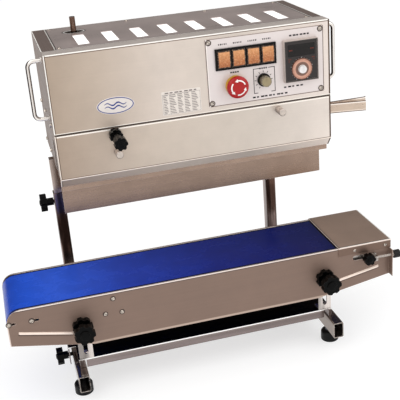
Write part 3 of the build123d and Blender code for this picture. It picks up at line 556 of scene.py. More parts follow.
# name, colour, roughness, colour drift, pebble strength, pebble scale, specular, extras
for *row, extras in (
    ("motor_paint", (92, 98, 104), 0.45, 0.12, 0.2, 500.0, 0.5,
     dict(edge_colour=(150, 150, 150))),
    ("knob_black", (2, 2, 2), 0.22, 0.30, 0.25, 700.0, 0.09,
     dict(edge_colour=(110, 104, 102), edge_wear_and_highlight=0.16)),
    # Dark rings under screw heads: painted shade round the screws.
    ("dark_washer", (58, 44, 38), 0.4, 0.3, 0.2, 700.0, 0.3,
     dict(edge_colour=(110, 96, 88), edge_wear_and_highlight=0.2)),
    ("black_trim", (7, 5, 5), 0.42, 0.2, 0.15, 800.0, 0.16,
     dict(edge_colour=(56, 50, 46), edge_wear_and_highlight=0.2)),
    ("stop_red", (164, 6, 8), 0.30, 0.10, 0.05, 600.0, 0.3, dict(coat=0.2)),
    ("stop_yellow", (196, 146, 30), 0.38, 0.10, 0.08, 900.0, 0.35, {}),
    ("white_print", (240, 236, 233), 0.45, 0.03, 0.05, 900.0, 0.3, {}),
    ("badge_silver", (222, 214, 208), 0.40, 0.05, 0.05, 900.0, 0.4, {}),
    ("label_paper", (228, 219, 210), 0.55, 0.03, 0.05, 900.0, 0.2, {}),
    # Painted light: the vent liner glows to show bright white behind the vent slots, though it holds no
    # lamp.
    ("white_liner", (255, 254, 252), 0.6, 0.02, 0.4, 240.0, 0.2, dict(glow=0.45)),
    ("print_ink", (34, 28, 32), 0.5, 0.15, 0.02, 900.0, 0.2, {}),
    ("print_ink_light", (116, 106, 104), 0.5, 0.15, 0.02, 900.0, 0.2, {}),
    ("print_blue", (38, 58, 128), 0.45, 0.10, 0.02, 900.0, 0.3, {}),
    ("print_red", (120, 52, 38), 0.45, 0.15, 0.02, 900.0, 0.2, {}),
    ("display_glass", (16, 11, 10), 0.22, 0.25, 0.02, 300.0, 0.3, {}),
    ("coated_cloth", (122, 84, 48), 0.45, 0.15, 0.6, 1400.0, 0.5, {}),
):
    plastic(*row, **extras)


# ---------------------------------------------------------------- single materials
def turned_nut_material():
    """Knurled side in painted shade, with painted light on its upper part, bright turned end face."""
    k = Material("turned_nut")
    normal = k.normal()
    face = k.remap(normal[1], -0.75, -0.92)
    knurl = k.math("SINE", k.multiply(k.separate(k.point)[2], 5200.0))
    patches = k.noise(scale=300.0, detail=3)
    upward = k.remap(normal[2], -0.6, 0.8)
    side_colour = k.mix(upward, (52, 40, 34), (214, 200, 190))
    colour = k.mix(face, side_colour, (198, 186, 176))
    k.surface({
        "Base Color": k.mottle(colour, patches, 0.85, 1.12),
        "Metallic": 0.6,
        "Roughness": k.spread(patches, 0.26, 0.4),
    })
    k.bump(k.multiply(knurl, k.subtract(1.0, face)), strength=0.25, distance=0.0002)


def chrome_rod_material():
    """Bent chrome rod: painted reflection of dark flanks either side of a bright streak, fine polishing
    lines.
    """
    k = Material("chrome_rod")
    flank = k.math("ABSOLUTE", k.subtract(k.normal()[0], 0.12))
    dark = k.remap(flank, 0.42, 0.62, smooth=True)
    lines = k.noise(scale=1.0, stretch=(260.0, 260.0, 4.0))
    colour = k.mix(dark, (236, 230, 224), (54, 42, 36))
    k.surface({
        "Base Color": k.mottle(colour, lines, 0.88, 1.08),
        "Metallic": 0.75,
        "Roughness": k.spread(lines, 0.12, 0.22),
    })
    k.bump(lines, strength=0.12, distance=0.00005)


def tension_screw_material():
    """Plated threaded rod with a black knurled head at its outer end."""
    k = Material("tension_screw")
    x = k.separate(k.point)[0]
    _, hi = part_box("tension_screw")
    head = k.remap(x, hi.x - 0.0136, hi.x - 0.0131)
    patches = k.noise(scale=120.0)
    thread = k.math("SINE", k.multiply(x, 5026.0))
    # Painted shade in the thread roots and painted highlight on the crests.
    rod = k.mix(k.remap(thread, -0.3, 0.3), (112, 100, 92), (212, 202, 194))
    colour = k.mix(head, rod, (6, 5, 6))
    k.surface({
        "Base Color": k.mottle(colour, patches, 0.8, 1.2),
        "Specular IOR Level": 0.3,
        "Roughness": k.spread(patches, 0.26, 0.4),
    })
    k.bump(k.multiply(thread, k.subtract(1.0, head)), strength=0.35, distance=0.0003)


def belt_material():
    """Glossy blue coated belting with painted light: brighter towards the left end, deeper blue to the
    right.
    """
    k = Material("belt_blue")
    lo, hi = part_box("conveyor_belt")
    along = k.remap(k.separate(k.point)[0], lo.x, hi.x - 0.08)
    colour = k.ramp(along, [
        (0.0, (6, 60, 168)), (0.07, (22, 76, 196)), (0.15, (40, 82, 196)),
        (0.36, (28, 56, 158)), (0.62, (18, 34, 116)), (1.0, (7, 16, 68)),
    ])
    patches = k.noise(scale=22.0, distortion=0.3)
    weave = k.add(k.wave("X", scale=420.0), k.wave("Y", scale=420.0))
    colour = k.mottle(colour, patches, 0.88, 1.12)
    k.surface({
        "Base Color": paint(k, colour, BELT_STRIPS),
        "Specular IOR Level": 0.12,
        "Roughness": k.spread(patches, 0.20, 0.32),
    })
    k.bump(weave, strength=0.10, distance=0.00004)


def amber_material():
    """Lit translucent rocker: warm amber, paler towards the top, darker moulded rim."""
    k = Material("rocker_amber")
    place = k.separate(k.coord("Generated"))
    dx = k.math("ABSOLUTE", k.subtract(place[0], 0.5))
    dz = k.math("ABSOLUTE", k.subtract(place[2], 0.5))
    inner = k.multiply(k.remap(dx, 0.445, 0.405, smooth=True),
                       k.remap(dz, 0.455, 0.42, smooth=True))
    patches = k.noise(scale=130.0, detail=3, roughness=0.5)
    core = k.mix(k.remap(place[2], 0.2, 0.9), (166, 96, 48), (204, 142, 92))
    colour = k.mix(inner, (40, 24, 16), core)
    flecks = k.remap(k.noise(scale=330.0, detail=3), 0.52, 0.66)
    colour = k.mix(k.multiply(flecks, 0.35), colour, (236, 190, 146))
    colour = k.mottle(colour, patches, 0.86, 1.12)
    k.surface({
        "Base Color": colour,
        "Emission Color": colour,
        "Emission Strength": 0.06,
        "Roughness": k.spread(patches, 0.20, 0.32),
    })
    k.bump(patches, strength=0.12, distance=0.0002)


def foot_material():
    """Black moulded rubber below, bright zinc-plated nut and stud above it."""
    k = Material("levelling_foot")
    metal = k.remap(k.separate(k.point)[2], 0.0236, 0.0241)
    patches = k.noise(scale=80.0)
    thread = k.wave("Z", scale=260.0)
    colour = k.mottle(k.mix(metal, (5, 5, 6), (120, 126, 136)), patches, 0.8, 1.2)
    k.surface({
        "Base Color": k.wear(colour, (90, 86, 84), 0.25, radius=0.001),
        "Specular IOR Level": 0.18,
        "Roughness": k.spread(patches, 0.35, 0.5),
    })
    k.bump(k.add(thread, patches), strength=0.25, distance=0.0003)


def controller_material():
    """Black moulded face, pale grey case sides."""
    k = Material("controller_case")
    facing = k.math("ABSOLUTE", k.normal()[1])
    side_amount = 1.0
    side = k.multiply(k.remap(facing, 0.85, 0.6, smooth=True), side_amount)
    patches = k.noise(scale=70.0)
    pebbles = k.noise(scale=900.0, detail=2, roughness=0.5)
    colour = k.mix(side, (30, 21, 19), (190, 176, 168))
    k.surface({
        "Base Color": k.mottle(colour, patches, 0.86, 1.14),
        "Roughness": k.spread(patches, 0.32, 0.46),
    })
    k.bump(pebbles, strength=0.15, distance=0.0001)


def dial_material():
    """Copper scale ring round a darker disc, pale hub in the middle; radii in metres."""
    k = Material("temperature_dial")
    radius, angle = k.around("temp_dial", k.separate(k.point))
    ring = k.remap(radius, 0.0142, 0.0148)
    hub = k.remap(radius, 0.0088, 0.0085)
    rim_amount, tick_amount = 1.0, 0.75
    wave = k.math("SINE", k.multiply(angle, 42.0))
    ticks = k.multiply(k.remap(wave, 0.35, 0.6), k.remap(radius, 0.0176, 0.0180))
    patches = k.noise(scale=160.0, detail=3, roughness=0.5)
    colour = k.mix(ring, (122, 92, 80), (206, 154, 132))
    rim = k.multiply(k.remap(radius, 0.0204, 0.0208), rim_amount)
    colour = k.mix(rim, colour, (120, 74, 58))
    colour = k.mix(k.multiply(ticks, tick_amount), colour, (96, 62, 48))
    colour = k.mix(hub, colour, (226, 222, 220))
    k.surface({
        "Base Color": k.mottle(colour, patches, 0.9, 1.1),
        "Metallic": 0.35,
        "Roughness": k.spread(patches, 0.28, 0.4),
    })
    k.bump(ticks, strength=0.3, distance=0.0002)


def speed_material():
    """Turned metal cap with a knurled rim over a black skirt; radii in metres."""
    k = Material("speed_knob_metal")
    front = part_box("speed_knob")[0].y
    place = k.separate(k.point)
    cap = k.remap(place[1], front + 0.0160, front + 0.0156)
    radius, angle = k.around("speed_knob", place)
    turning = k.math("SINE", k.multiply(radius, 9000.0))
    knurl = k.math("SINE", k.multiply(angle, 46.0))
    face = k.remap(radius, 0.0090, 0.0086)
    colour = k.mix(face, (84, 70, 50), (156, 142, 112))
    # Painted highlight on the knurl crests.
    crests = k.multiply(k.remap(knurl, -0.2, 0.4), k.subtract(1.0, face))
    colour = k.mix(crests, colour, (176, 166, 140))
    k.surface({
        "Base Color": k.mix(cap, (20, 16, 14), colour),
        "Metallic": 0.7,
        "Roughness": 0.32,
    })
    knurl_height = 1.0
    height = k.add(k.multiply(turning, face), k.multiply(knurl, knurl_height))
    k.bump(height, strength=0.3, distance=0.0002)


turned_nut_material()
chrome_rod_material()
tension_screw_material()
amber_material()
foot_material()
controller_material()
dial_material()
speed_material()
belt_material()

# ---------------------------------------------------------------- dressing the CAD pieces
# material, edge radius in millimetres (0 leaves the edges as they are), nodes
DRESSING = (
    ("steel_head_front", 0.45, "front_panel"),
    ("steel_cover", 0.45, "front_cover"),
    ("steel_lid", 0.35, "lid"),
    ("steel_side_painted_shade", 0.45, "side_panel_left side_panel_right"),
    ("steel_rear", 0.4, "rear_cover"),
    ("steel_inner", 0.3, "inner_guard"),
    ("steel_inner", 0, "mounting_plate"),
    ("steel_guide", 0.3, "infeed_guides"),
    ("satin_control_plate", 0.35, "control_plate"),
    ("black_trim", 0.5, "switch_frame"),
    ("stop_yellow", 0.8, "estop_ring"),
    ("stop_red", 0.3, "estop_button"),
    ("speed_knob_metal", 0.5, "speed_knob"),
    ("controller_case", 0.4, "controller"),
    ("temperature_dial", 0.4, "temp_dial"),
    ("white_liner", 0, "vent_liner"),
    ("chrome_rod", 0, "carry_handles"),
    ("turned_nut", 0.6, "cover_nuts"),
    ("knob_black", 1.1, "pressure_knob tail_lock_knob"),
    ("knob_black", 1.2, "post_lock_knob base_lock_knob"),
    ("knob_black", 1.5, "conveyor_knob_left conveyor_knob_right"),
    ("tension_screw", 0.4, "tension_screw"),
    ("chrome_nut", 0.5, "tension_carriage"),
    ("steel_conveyor", 0.45, "conveyor_panel_front conveyor_panel_rear"),
    ("steel_end_cover", 0.5, "end_cover"),
    ("steel_bed", 0, "conveyor_bed"),
    ("roller_steel", 0, "drive_roller tail_roller"),
    ("polished_leg", 0.3, "cross_leg_left cross_leg_right"),
    ("polished_tie", 0.6, "base_tie"),
    ("polished_bracket", 0.5, "clamp_brackets"),
    ("polished_post", 0.4, "post_sleeves"),
    ("polished_inner_post", 0, "head_posts"),
    ("levelling_foot", 0.5, "foot_front_left foot_front_right foot_rear_left foot_rear_right"),
    ("motor_paint", 0, "gearmotor"),
    ("shaft_steel", 0.6, "drive_shaft"),
    ("wheel_steel", 0, "band_wheel_front_drive band_wheel_rear_drive band_wheel_front_idle"),
    ("wheel_steel", 0, "band_wheel_rear_idle press_wheel_front press_wheel_rear press_carriage"),
    ("block_brass", 0, "heater_blocks"),
    ("block_aluminium", 0, "cooler_blocks"),
    ("rocker_amber", 0.8, "rocker_1 rocker_2 rocker_3 rocker_4"),
    ("belt_blue", 0, "conveyor_belt"),
    ("coated_cloth", 0, "sealing_bands"),
)


def round_edges(thing, radius):
    """Welds, bevels and shades a CAD piece; radius in millimetres."""
    weld = thing.modifiers.new("weld", "WELD")
    weld.merge_threshold = 2e-6
    bevel = thing.modifiers.new("bevel", "BEVEL")
    bevel.width = radius * 1e-3
    bevel.segments = 2 if radius < 0.9 else 3
    bevel.limit_method = "ANGLE"
    bevel.angle_limit = math.radians(38)
    bevel.use_clamp_overlap = True
    bevel.loop_slide = False
    bevel.miter_outer = "MITER_ARC"
    flat = thing.modifiers.new("flat", "WEIGHTED_NORMAL")
    flat.mode = "FACE_AREA"
    flat.weight = 100
    flat.keep_sharp = True


for material, radius, nodes in DRESSING:
    for name in nodes.split():
        NODE[name].data.materials.clear()
        NODE[name].data.materials.append(MATERIALS[material])
        if radius:
            round_edges(NODE[name], radius)


# ---------------------------------------------------------------- shapes
# Every shape is a pair of vertices and faces; add() joins a list of them into one object.
def add(name, parts, material, body, smooth=True):
    verts, faces = [], []
    for part_verts, part_faces in parts:
        first = len(verts)
        verts += [tuple(vert) for vert in part_verts]
        faces += [tuple(index + first for index in face) for face in part_faces]
    mesh = bpy.data.meshes.new(name)
    mesh.from_pydata(verts, [], faces)
    bm = bmesh.new()
    bm.from_mesh(mesh)
    bmesh.ops.remove_doubles(bm, verts=bm.verts, dist=1e-7)
    bmesh.ops.recalc_face_normals(bm, faces=bm.faces)
    bm.to_mesh(mesh)
    bm.free()
    for polygon in mesh.polygons:
        polygon.use_smooth = smooth
    if smooth:
        mesh.set_sharp_from_angle(angle=math.radians(40))
    thing = bpy.data.objects.new(name, mesh)
    bpy.context.scene.collection.objects.link(thing)
    mesh.materials.append(MATERIALS[material])
    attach(thing, body)
    return thing


def frame_about(axis):
    """Two unit vectors across axis, then axis itself."""
    axis = Vector(axis).normalized()
    helper = Vector((0, 0, 1)) if abs(axis.z) < 0.9 else Vector((1, 0, 0))
    across = helper.cross(axis).normalized()
    return across, axis.cross(across), axis


def lathe(foot, axis, profile, n=28):
    """Solid of revolution; profile is (radius, height) in millimetres from foot along axis."""
    u, w, axis = frame_about(axis)
    verts, faces, rings = [], [], []
    for radius, height in profile:
        first = len(verts)
        middle = foot + axis * height * 1e-3
        if radius < 1e-6:
            verts.append(middle)
        else:
            for i in range(n):
                angle = 2 * math.pi * i / n
                verts.append(middle + (u * math.cos(angle) + w * math.sin(angle)) * radius * 1e-3)
        rings.append(list(range(first, len(verts))))
    for ring, following in zip(rings, rings[1:]):
        for i in range(n):
            j = (i + 1) % n
            if len(ring) == 1:
                faces.append((ring[0], following[i], following[j]))
            elif len(following) == 1:
                faces.append((ring[i], following[0], ring[j]))
            else:
                faces.append((ring[i], following[i], following[j], ring[j]))
    return verts, faces


def ring_washer(foot, axis, inner, outer):
    """Flat ring with a chamfered outer edge."""
    return lathe(foot, axis, [(inner, 0), (outer, 0), (outer, 0.4), (outer - 0.4, 0.7),
                              (inner, 0.7), (inner, 0)])


def block(x0, x1, y0, y1, z0, z1):
    verts = [at(x, y, z) for z in (z0, z1) for y in (y0, y1) for x in (x0, x1)]
    return verts, [(0, 2, 3, 1), (4, 5, 7, 6), (0, 1, 5, 4), (2, 6, 7, 3), (0, 4, 6, 2), (1, 3, 7, 5)]


def prism(back, front):
    """Solid between two matching loops of points."""
    n = len(back)
    faces = [tuple(range(n)), tuple(range(2 * n - 1, n - 1, -1))]
    faces += [(i, n + i, n + (i + 1) % n, (i + 1) % n) for i in range(n)]
    return back + front, faces


def ribbon(rows):
    """Solid along four equal rows of points: two of the back face, then two of the front face."""
    n = len(rows[0])
    a, b, c, d = (n * row for row in range(4))
    faces = []
    for i in range(n - 1):
        j = i + 1
        faces += [(a + i, a + j, b + j, b + i), (c + i, d + i, d + j, c + j),
                  (a + i, c + i, c + j, a + j), (b + i, b + j, d + j, d + i)]
    last = n - 1
    faces += [(a, b, d, c), (a + last, c + last, d + last, b + last)]
    return [point for row in rows for point in row], faces


def skin(rows, n, closed=False):
    """Quads between successive loops of n points; closed joins the last loop to the first."""
    faces = []
    for row in range(rows if closed else rows - 1):
        this, other = row * n, (row + 1) % rows * n
        faces += [(this + i, this + (i + 1) % n, other + (i + 1) % n, other + i) for i in range(n)]
    return faces


# Grid of a screw head across -1 to 1, denser where the recess has its walls.
HALF_GRID = (0.11, 0.15, 0.34, 0.56, 0.62, 0.8, 0.93, 1)
SCREW_GRID = [-g for g in reversed(HALF_GRID)] + [0] + list(HALF_GRID)
RECESS_HALF_WIDTH, RECESS_REACH, RECESS_DEPTH = 0.12, 0.58, 0.5


def pan_screw(foot, axis, radius, height=1.9, spin=0.0):
    """Pan-head screw with a cross recess, standing on foot along axis."""
    u, w, axis = frame_about(axis)
    cos, sin = math.cos(spin), math.sin(spin)
    u, w = u * cos + w * sin, w * cos - u * sin
    n = len(SCREW_GRID)
    verts, faces = [], []
    for y in SCREW_GRID:
        for x in SCREW_GRID:
            # the square grid is pressed into a disc
            disc_x, disc_y = x * math.sqrt(1 - y * y / 2), y * math.sqrt(1 - x * x / 2)
            out = min(1.0, math.hypot(disc_x, disc_y))
            z = height * (0.42 + 0.58 * math.sqrt(1 - out ** 2.6))
            near, far = sorted((abs(x), abs(y)))
            if near < RECESS_HALF_WIDTH and far < RECESS_REACH:
                z -= height * RECESS_DEPTH
            verts.append(foot + (u * disc_x + w * disc_y) * radius * 1e-3 + axis * z * 1e-3)
    for j in range(n - 1):
        for i in range(n - 1):
            k = j * n + i
            faces.append((k, k + 1, k + n + 1, k + n))
    rim = list(range(n)) + [j * n + n - 1 for j in range(1, n)]
    rim += [(n - 1) * n + i for i in range(n - 2, -1, -1)] + [j * n for j in range(n - 2, 0, -1)]
    base = len(verts)
    for index in rim:
        point = verts[index]
        verts.append(point - axis * ((point - foot).dot(axis)))
    count = len(rim)
    for i in range(count):
        j = (i + 1) % count
        faces.append((rim[i], base + i, base + j, rim[j]))
    faces.append(tuple(base + i for i in range(count - 1, -1, -1)))
    return verts, faces


def hex_bolt(foot, axis, across_flats, height, washer, stud=0.0):
    """Parts of a washer, a hexagon and, where stud is given, a threaded end of that length."""
    thick = 1.2
    parts = [lathe(foot, axis, [(0, 0), (washer, 0), (washer, 0.9), (washer - 0.4, thick),
                                (0, thick)])]
    corner = across_flats / math.sqrt(3)
    parts.append(lathe(foot, axis, [
        (0, thick), (corner, thick), (corner, thick + height - 0.5),
        (corner * 0.88, thick + height), (0, thick + height)], 6))
    if stud:
        level = thick + height - 0.1
        profile = [(0, level)]
        while level < thick + height + stud:
            profile += [(2.3, level), (2.7, level + 0.4), (2.3, level + 0.8)]
            level += 0.8
        profile.append((0, level))
        parts.append(lathe(foot, axis, profile, 16))
    return parts


# ---------------------------------------------------------------- belts
def belt_mesh(x0, x1, middle_z, inner_radius, y0, y1, thick, arc_steps, run_steps,
              sag=0.0, joint=True):
    """Belt round rollers centred at x0 and x1, y0 to y1 wide; all in metres."""
    length = x1 - x0
    path = []  # x, z of the inner face, then x, z of the outward normal
    for i in range(run_steps):
        path.append((x0 + length * i / run_steps, middle_z + inner_radius, 0.0, 1.0))

    def arc(x, start):
        for i in range(arc_steps):
            angle = start - math.pi * i / arc_steps
            cos, sin = math.cos(angle), math.sin(angle)
            path.append((x + inner_radius * cos, middle_z + inner_radius * sin, cos, sin))

    arc(x1, math.pi / 2)
    for i in range(run_steps):
        s = i / run_steps
        drop = sag * math.sin(math.pi * s) ** 2
        path.append((x1 - length * s, middle_z - inner_radius - drop, 0.0, -1.0))
    arc(x0, -math.pi / 2)
    width = y1 - y0
    edge = min(thick * 0.45, 0.0006)
    flat = width - 2 * edge
    # cross-section: y and height, 0 on the inner face and thick on the outer face
    section = [(y0, edge), (y0, thick - edge)]
    section += [(y0 + edge + flat * i / 12.0, thick) for i in range(13)]
    section += [(y1, thick - edge), (y1, edge)]
    section += [(y1 - edge - flat * i / 6.0, 0.0) for i in range(7)]
    verts, faces = [], []
    for x, z, nx, nz in path:
        for y, height in section:
            if height >= thick - 1e-9:
                # slight waviness of a tensioned belt, and the scarf joint's faint groove
                q = (y - y0) / width
                height += 0.00006 * math.sin(108.0 * x + 5 * q) * math.sin(math.pi * q)
                if joint and nz > 0.5:
                    away = abs((x - (x0 + 0.16 * length)) - 0.35 * (y - y0))
                    if away < 0.004:
                        height -= 0.00022 * (1 - away / 0.004)
            verts.append((x + nx * height, y, z + nz * height))
    n = len(section)
    for i in range(len(path)):
        this, other = i * n, (i + 1) % len(path) * n
        for k in range(n):
            m = (k + 1) % n
            faces.append((this + k, other + k, other + m, this + m))
    return verts, faces


BELT_THICK = 0.0015
BELT_SAG = 0.004
lo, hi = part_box("conveyor_belt")
outer = (hi.z - lo.z) / 2
shape = belt_mesh(lo.x + outer, hi.x - outer, (hi.z + lo.z) / 2, outer - BELT_THICK, lo.y, hi.y,
                  BELT_THICK, arc_steps=28, run_steps=150, sag=BELT_SAG)
belt = add("belt_loop", [shape], "belt_blue", "conveyor")
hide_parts("conveyor_belt")

# The sealing bands run round upright axes, so the belt shape is laid on its side.
BAND_THICK = 0.0007
BAND_RADIUS = 0.02075
lo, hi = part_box("sealing_bands")
for side, middle_y in (("front", lo.y + BAND_RADIUS), ("rear", hi.y - BAND_RADIUS)):
    verts, faces = belt_mesh(lo.x + BAND_RADIUS, hi.x - BAND_RADIUS, 0.0, BAND_RADIUS - BAND_THICK,
                             lo.z, hi.z, BAND_THICK, arc_steps=20, run_steps=90, joint=False)
    verts = [(x, middle_y + z, y) for x, y, z in verts]
    band = add("seal_band_" + side, [(verts, faces)], "coated_cloth", "head")
    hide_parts("sealing_bands")


# ---------------------------------------------------------------- fasteners
def add_screws(name, parts, body):
    add(name, parts, "screw_steel", body)


# Dark rings round screw heads stand for painted shade.
def add_shade_rings(name, parts, body):
    add(name, parts, "dark_washer", body)


# Each screw is turned by its running number, so that no two recesses line up.
lo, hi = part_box("control_plate")
INSET = 0.007
corners = [Vector((x, lo.y, z)) for x in (lo.x + INSET, hi.x - INSET)
           for z in (lo.z + INSET, hi.z - INSET)]
parts = []
for i, point in enumerate(corners):
    parts.append(lathe(point, FRONT, [(0, 0), (4.6, 0), (4.6, 0.3), (4.2, 0.5), (0, 0.5)]))
    parts.append(pan_screw(point + Vector((0, -0.0005, 0)), FRONT, 3.6, 2.1, spin=0.5 + i * 0.7))
add_screws("control_plate_screws", parts, "head")
# Painted shade: dark rings round the plate's screws.
add_shade_rings("control_plate_shade_rings", [ring_washer(p, FRONT, 4.4, 6.0) for p in corners], "head")

lo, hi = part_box("lid")
spots = [(x, y) for x in (lo.x + 0.010, hi.x - 0.010) for y in (lo.y + 0.012, hi.y - 0.014)]
spots += [(x, hi.y - 0.014) for x in (lo.x + 0.18, lo.x + 0.36)]
add_screws("lid_screws", [pan_screw(Vector((x, y, hi.z)), UP, 3.6, spin=0.4 + i * 0.9)
                          for i, (x, y) in enumerate(spots, 4)], "head")

parts = []
for x, axis in ((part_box("side_panel_left")[0].x, LEFT), (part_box("side_panel_right")[1].x, RIGHT)):
    for y, z in ((35, 506), (150, 506), (150, 418), (240, 506), (240, 418)):
        foot = Vector((x, ORIGIN[1] + y * 1e-3, z * 1e-3))
        parts += hex_bolt(foot, axis, across_flats=6.4, height=2.8, washer=5.0)
add_screws("side_bolts", parts, "head")

PANEL_FRONT, PANEL_REAR = -162.7, 0  # y of the conveyor panels' outer faces
TRIO = ((55.4, 204.3), (37.4, 174.1), (69.9, 172.3))  # x, z of three screws on the front panel
TRIO_RADIUS = 3.8
PAIR_X = (-122.6 - 23.2, -122.6 + 19.8)  # either side of the left clamp knob
PAIR_Z, PAIR_RADIUS = 190.4, 4.3
spots = [(x, z, TRIO_RADIUS) for x, z in TRIO] + [(x, PAIR_Z, PAIR_RADIUS) for x in PAIR_X]
# Painted shade: dark rings round the conveyor screws.
add_shade_rings("conveyor_shade_rings", [ring_washer(at(x, PANEL_FRONT, z), FRONT, radius, radius + 1.5)
                                 for x, z, radius in spots], "conveyor")
parts = [pan_screw(at(x, PANEL_FRONT, z), FRONT, TRIO_RADIUS, 2.0, spin=0.3 + i * 0.8)
         for i, (x, z) in enumerate(TRIO, 10)]
for i, x in enumerate(PAIR_X, 13):
    for y, axis in ((PANEL_FRONT, FRONT), (PANEL_REAR, BACK)):
        parts.append(pan_screw(at(x, y, PAIR_Z), axis, PAIR_RADIUS, 2.4, spin=0.2 + i * 0.8))
for i, x in enumerate((559.4, 627.5), 15):
    for y, axis in ((PANEL_FRONT - 1.5, FRONT), (PANEL_REAR + 1.5, BACK)):
        parts.append(pan_screw(at(x, y, 208), axis, 3.4, 1.8, spin=0.3 + i * 0.8))
add_screws("conveyor_screws", parts, "conveyor")

BRACKET_X = (-9.7, 492.7)
parts = []
for x in BRACKET_X:
    parts += hex_bolt(at(x, PANEL_REAR, 158.8), BACK, across_flats=13.0, height=5.5,
                      washer=9.5, stud=4.0)
add("rear_clamp_bolts", parts, "chrome_nut", "conveyor")
parts = []
for x in BRACKET_X:
    for y in (-161.1 + 16, -1.6 - 16):
        parts += hex_bolt(at(x, y, 86.2), UP, across_flats=10.0, height=4.0, washer=8.0, stud=1.5)
add("bracket_bolts", parts, "chrome_nut", "cross_slide")

lo, rear_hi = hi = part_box("rear_cover")
rear_hi = hi[1]
lo = hi[0]
spots = [(lo.x + (rear_hi.x - lo.x) * t, z) for t in (0.022, 0.26, 0.5, 0.74, 0.978)
         for z in (lo.z + 0.010, rear_hi.z - 0.012)]
spots += [(x, (lo.z + rear_hi.z) / 2) for x in (lo.x + 0.0128, rear_hi.x - 0.0128)]
points = [Vector((x, rear_hi.y, z)) for x, z in spots]
add_screws("rear_cover_screws", [pan_screw(point, BACK, 3.4, spin=0.3 + i * 0.8)
                                 for i, point in enumerate(points, 17)], "head")
# Painted shade: dark rings round the rear cover's screws.
add_shade_rings("rear_cover_shade_rings", [ring_washer(p, BACK, 3.4, 4.9) for p in points], "head")

# Domed caps on the black knobs: name, knob, axis, a point on the axis, radius.
CAPS = (
    ("conveyor_knob_left_cap", "conveyor_knob_left", FRONT, PIVOT["conveyor_lock_left_turn"], 8.5),
    ("conveyor_knob_right_cap", "conveyor_knob_right", FRONT,
     PIVOT["conveyor_lock_right_turn"], 8.5),
    ("pressure_knob_cap", "pressure_knob", FRONT, at(119.5, 0, 479.2), 5.2),
    ("tail_knob_cap", "tail_lock_knob", FRONT, at(585.6, 0, 189.4), 6.0),
    ("post_knob_cap", "post_lock_knob", LEFT, at(0, 150, 301), 6.5),
    ("base_knob_cap", "base_lock_knob", LEFT, PIVOT["cross_lock_turn"], 6.0),
)
for name, knob, axis, middle, radius in CAPS:
    lo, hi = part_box(knob)
    foot = Vector(middle)
    if axis == FRONT:
        foot.y = lo.y
    else:
        foot.x = lo.x
    profile = [(0, 0), (radius, 0), (radius, 0.7), (radius - 0.5, 1.3), (radius * 0.55, 1.9), (0, 2.1)]
    add(name, [lathe(foot, axis, profile)], "knob_black", knob)

# ---------------------------------------------------------------- badge
BADGE_X, BADGE_Z = 126.8, 538.2
ELLIPSE_STEPS = 64


def ellipse(half_x, half_z, y):
    """Loop of points about the badge's middle."""
    angles = [2 * math.pi * i / ELLIPSE_STEPS for i in range(ELLIPSE_STEPS)]
    return [at(BADGE_X + half_x * math.cos(a), y, BADGE_Z + half_z * math.sin(a)) for a in angles]


def badge_plate():
    verts = ellipse(38.0, 17.6, 0.0) + ellipse(37.5, 17.1, -0.7)
    n = ELLIPSE_STEPS
    return verts, skin(2, n) + [tuple(range(n - 1, -1, -1)), tuple(range(n, 2 * n))]


def badge_border(back=-0.6, front=-0.85):
    verts = ellipse(36.4, 16.2, back) + ellipse(36.4, 16.2, front)
    verts += ellipse(34.6, 14.6, front) + ellipse(34.6, 14.6, back)
    return verts, skin(4, ELLIPSE_STEPS, closed=True)


def badge_wave(offset, steps=30):
    """Wavy ribbon across the badge, thickest in the middle."""
    upper, lower = [], []
    for k in range(steps + 1):
        x = -22 + 44 * k / steps
        z = 2.6 * math.sin(2 * math.pi * (x + 22) / 22) + offset
        thick = 3.0 * (0.35 + 0.65 * math.sin(math.pi * k / steps))
        upper.append((x, z + thick / 2))
        lower.append((x, z - thick / 2))
    return ribbon([[at(BADGE_X + x, y, BADGE_Z + z) for x, z in row]
                   for y in (-0.6, -0.85) for row in (upper, lower)])


add("badge_plate", [badge_plate()], "badge_silver", "head")
add("badge_print", [badge_border(), badge_wave(3.4), badge_wave(-3.4)], "print_blue", "head")


# ---------------------------------------------------------------- instruction plate
def rounded_plate(x0, x1, z0, z1, radius, back, front, steps=6):
    """Thin plate with rounded corners and a chamfered front edge."""
    outline = []
    for x, z, start in ((x1 - radius, z1 - radius, 0), (x0 + radius, z1 - radius, 90),
                        (x0 + radius, z0 + radius, 180), (x1 - radius, z0 + radius, 270)):
        outline += [(x, z, math.radians(start + 90 * i / steps)) for i in range(steps + 1)]
    n = len(outline)
    verts = []
    for r, y in ((radius, back), (radius, back + (front - back) * 0.6), (radius - 0.3, front)):
        verts += [at(x + r * math.cos(a), y, z + r * math.sin(a)) for x, z, a in outline]
    caps = [tuple(range(n - 1, -1, -1)), tuple(2 * n + i for i in range(n))]
    return verts, caps + skin(3, n)


def marks(x, pitch, widths, z0, z1, y0, y1):
    """Row of small blocks standing for the words of a caption."""
    return [block(x + i * pitch, x + i * pitch + width, y0, y1, z0, z1)
            for i, width in enumerate(widths)]


LABEL_X0, LABEL_X1, LABEL_Z0, LABEL_Z1 = 220.2, 301.0, 501.9, 550.8
LABEL_INK = (-0.5, -0.3)
add("instruction_plate", [rounded_plate(LABEL_X0, LABEL_X1, LABEL_Z0, LABEL_Z1, 2.2, 0.0, -0.35)],
    "label_paper", "head", smooth=False)

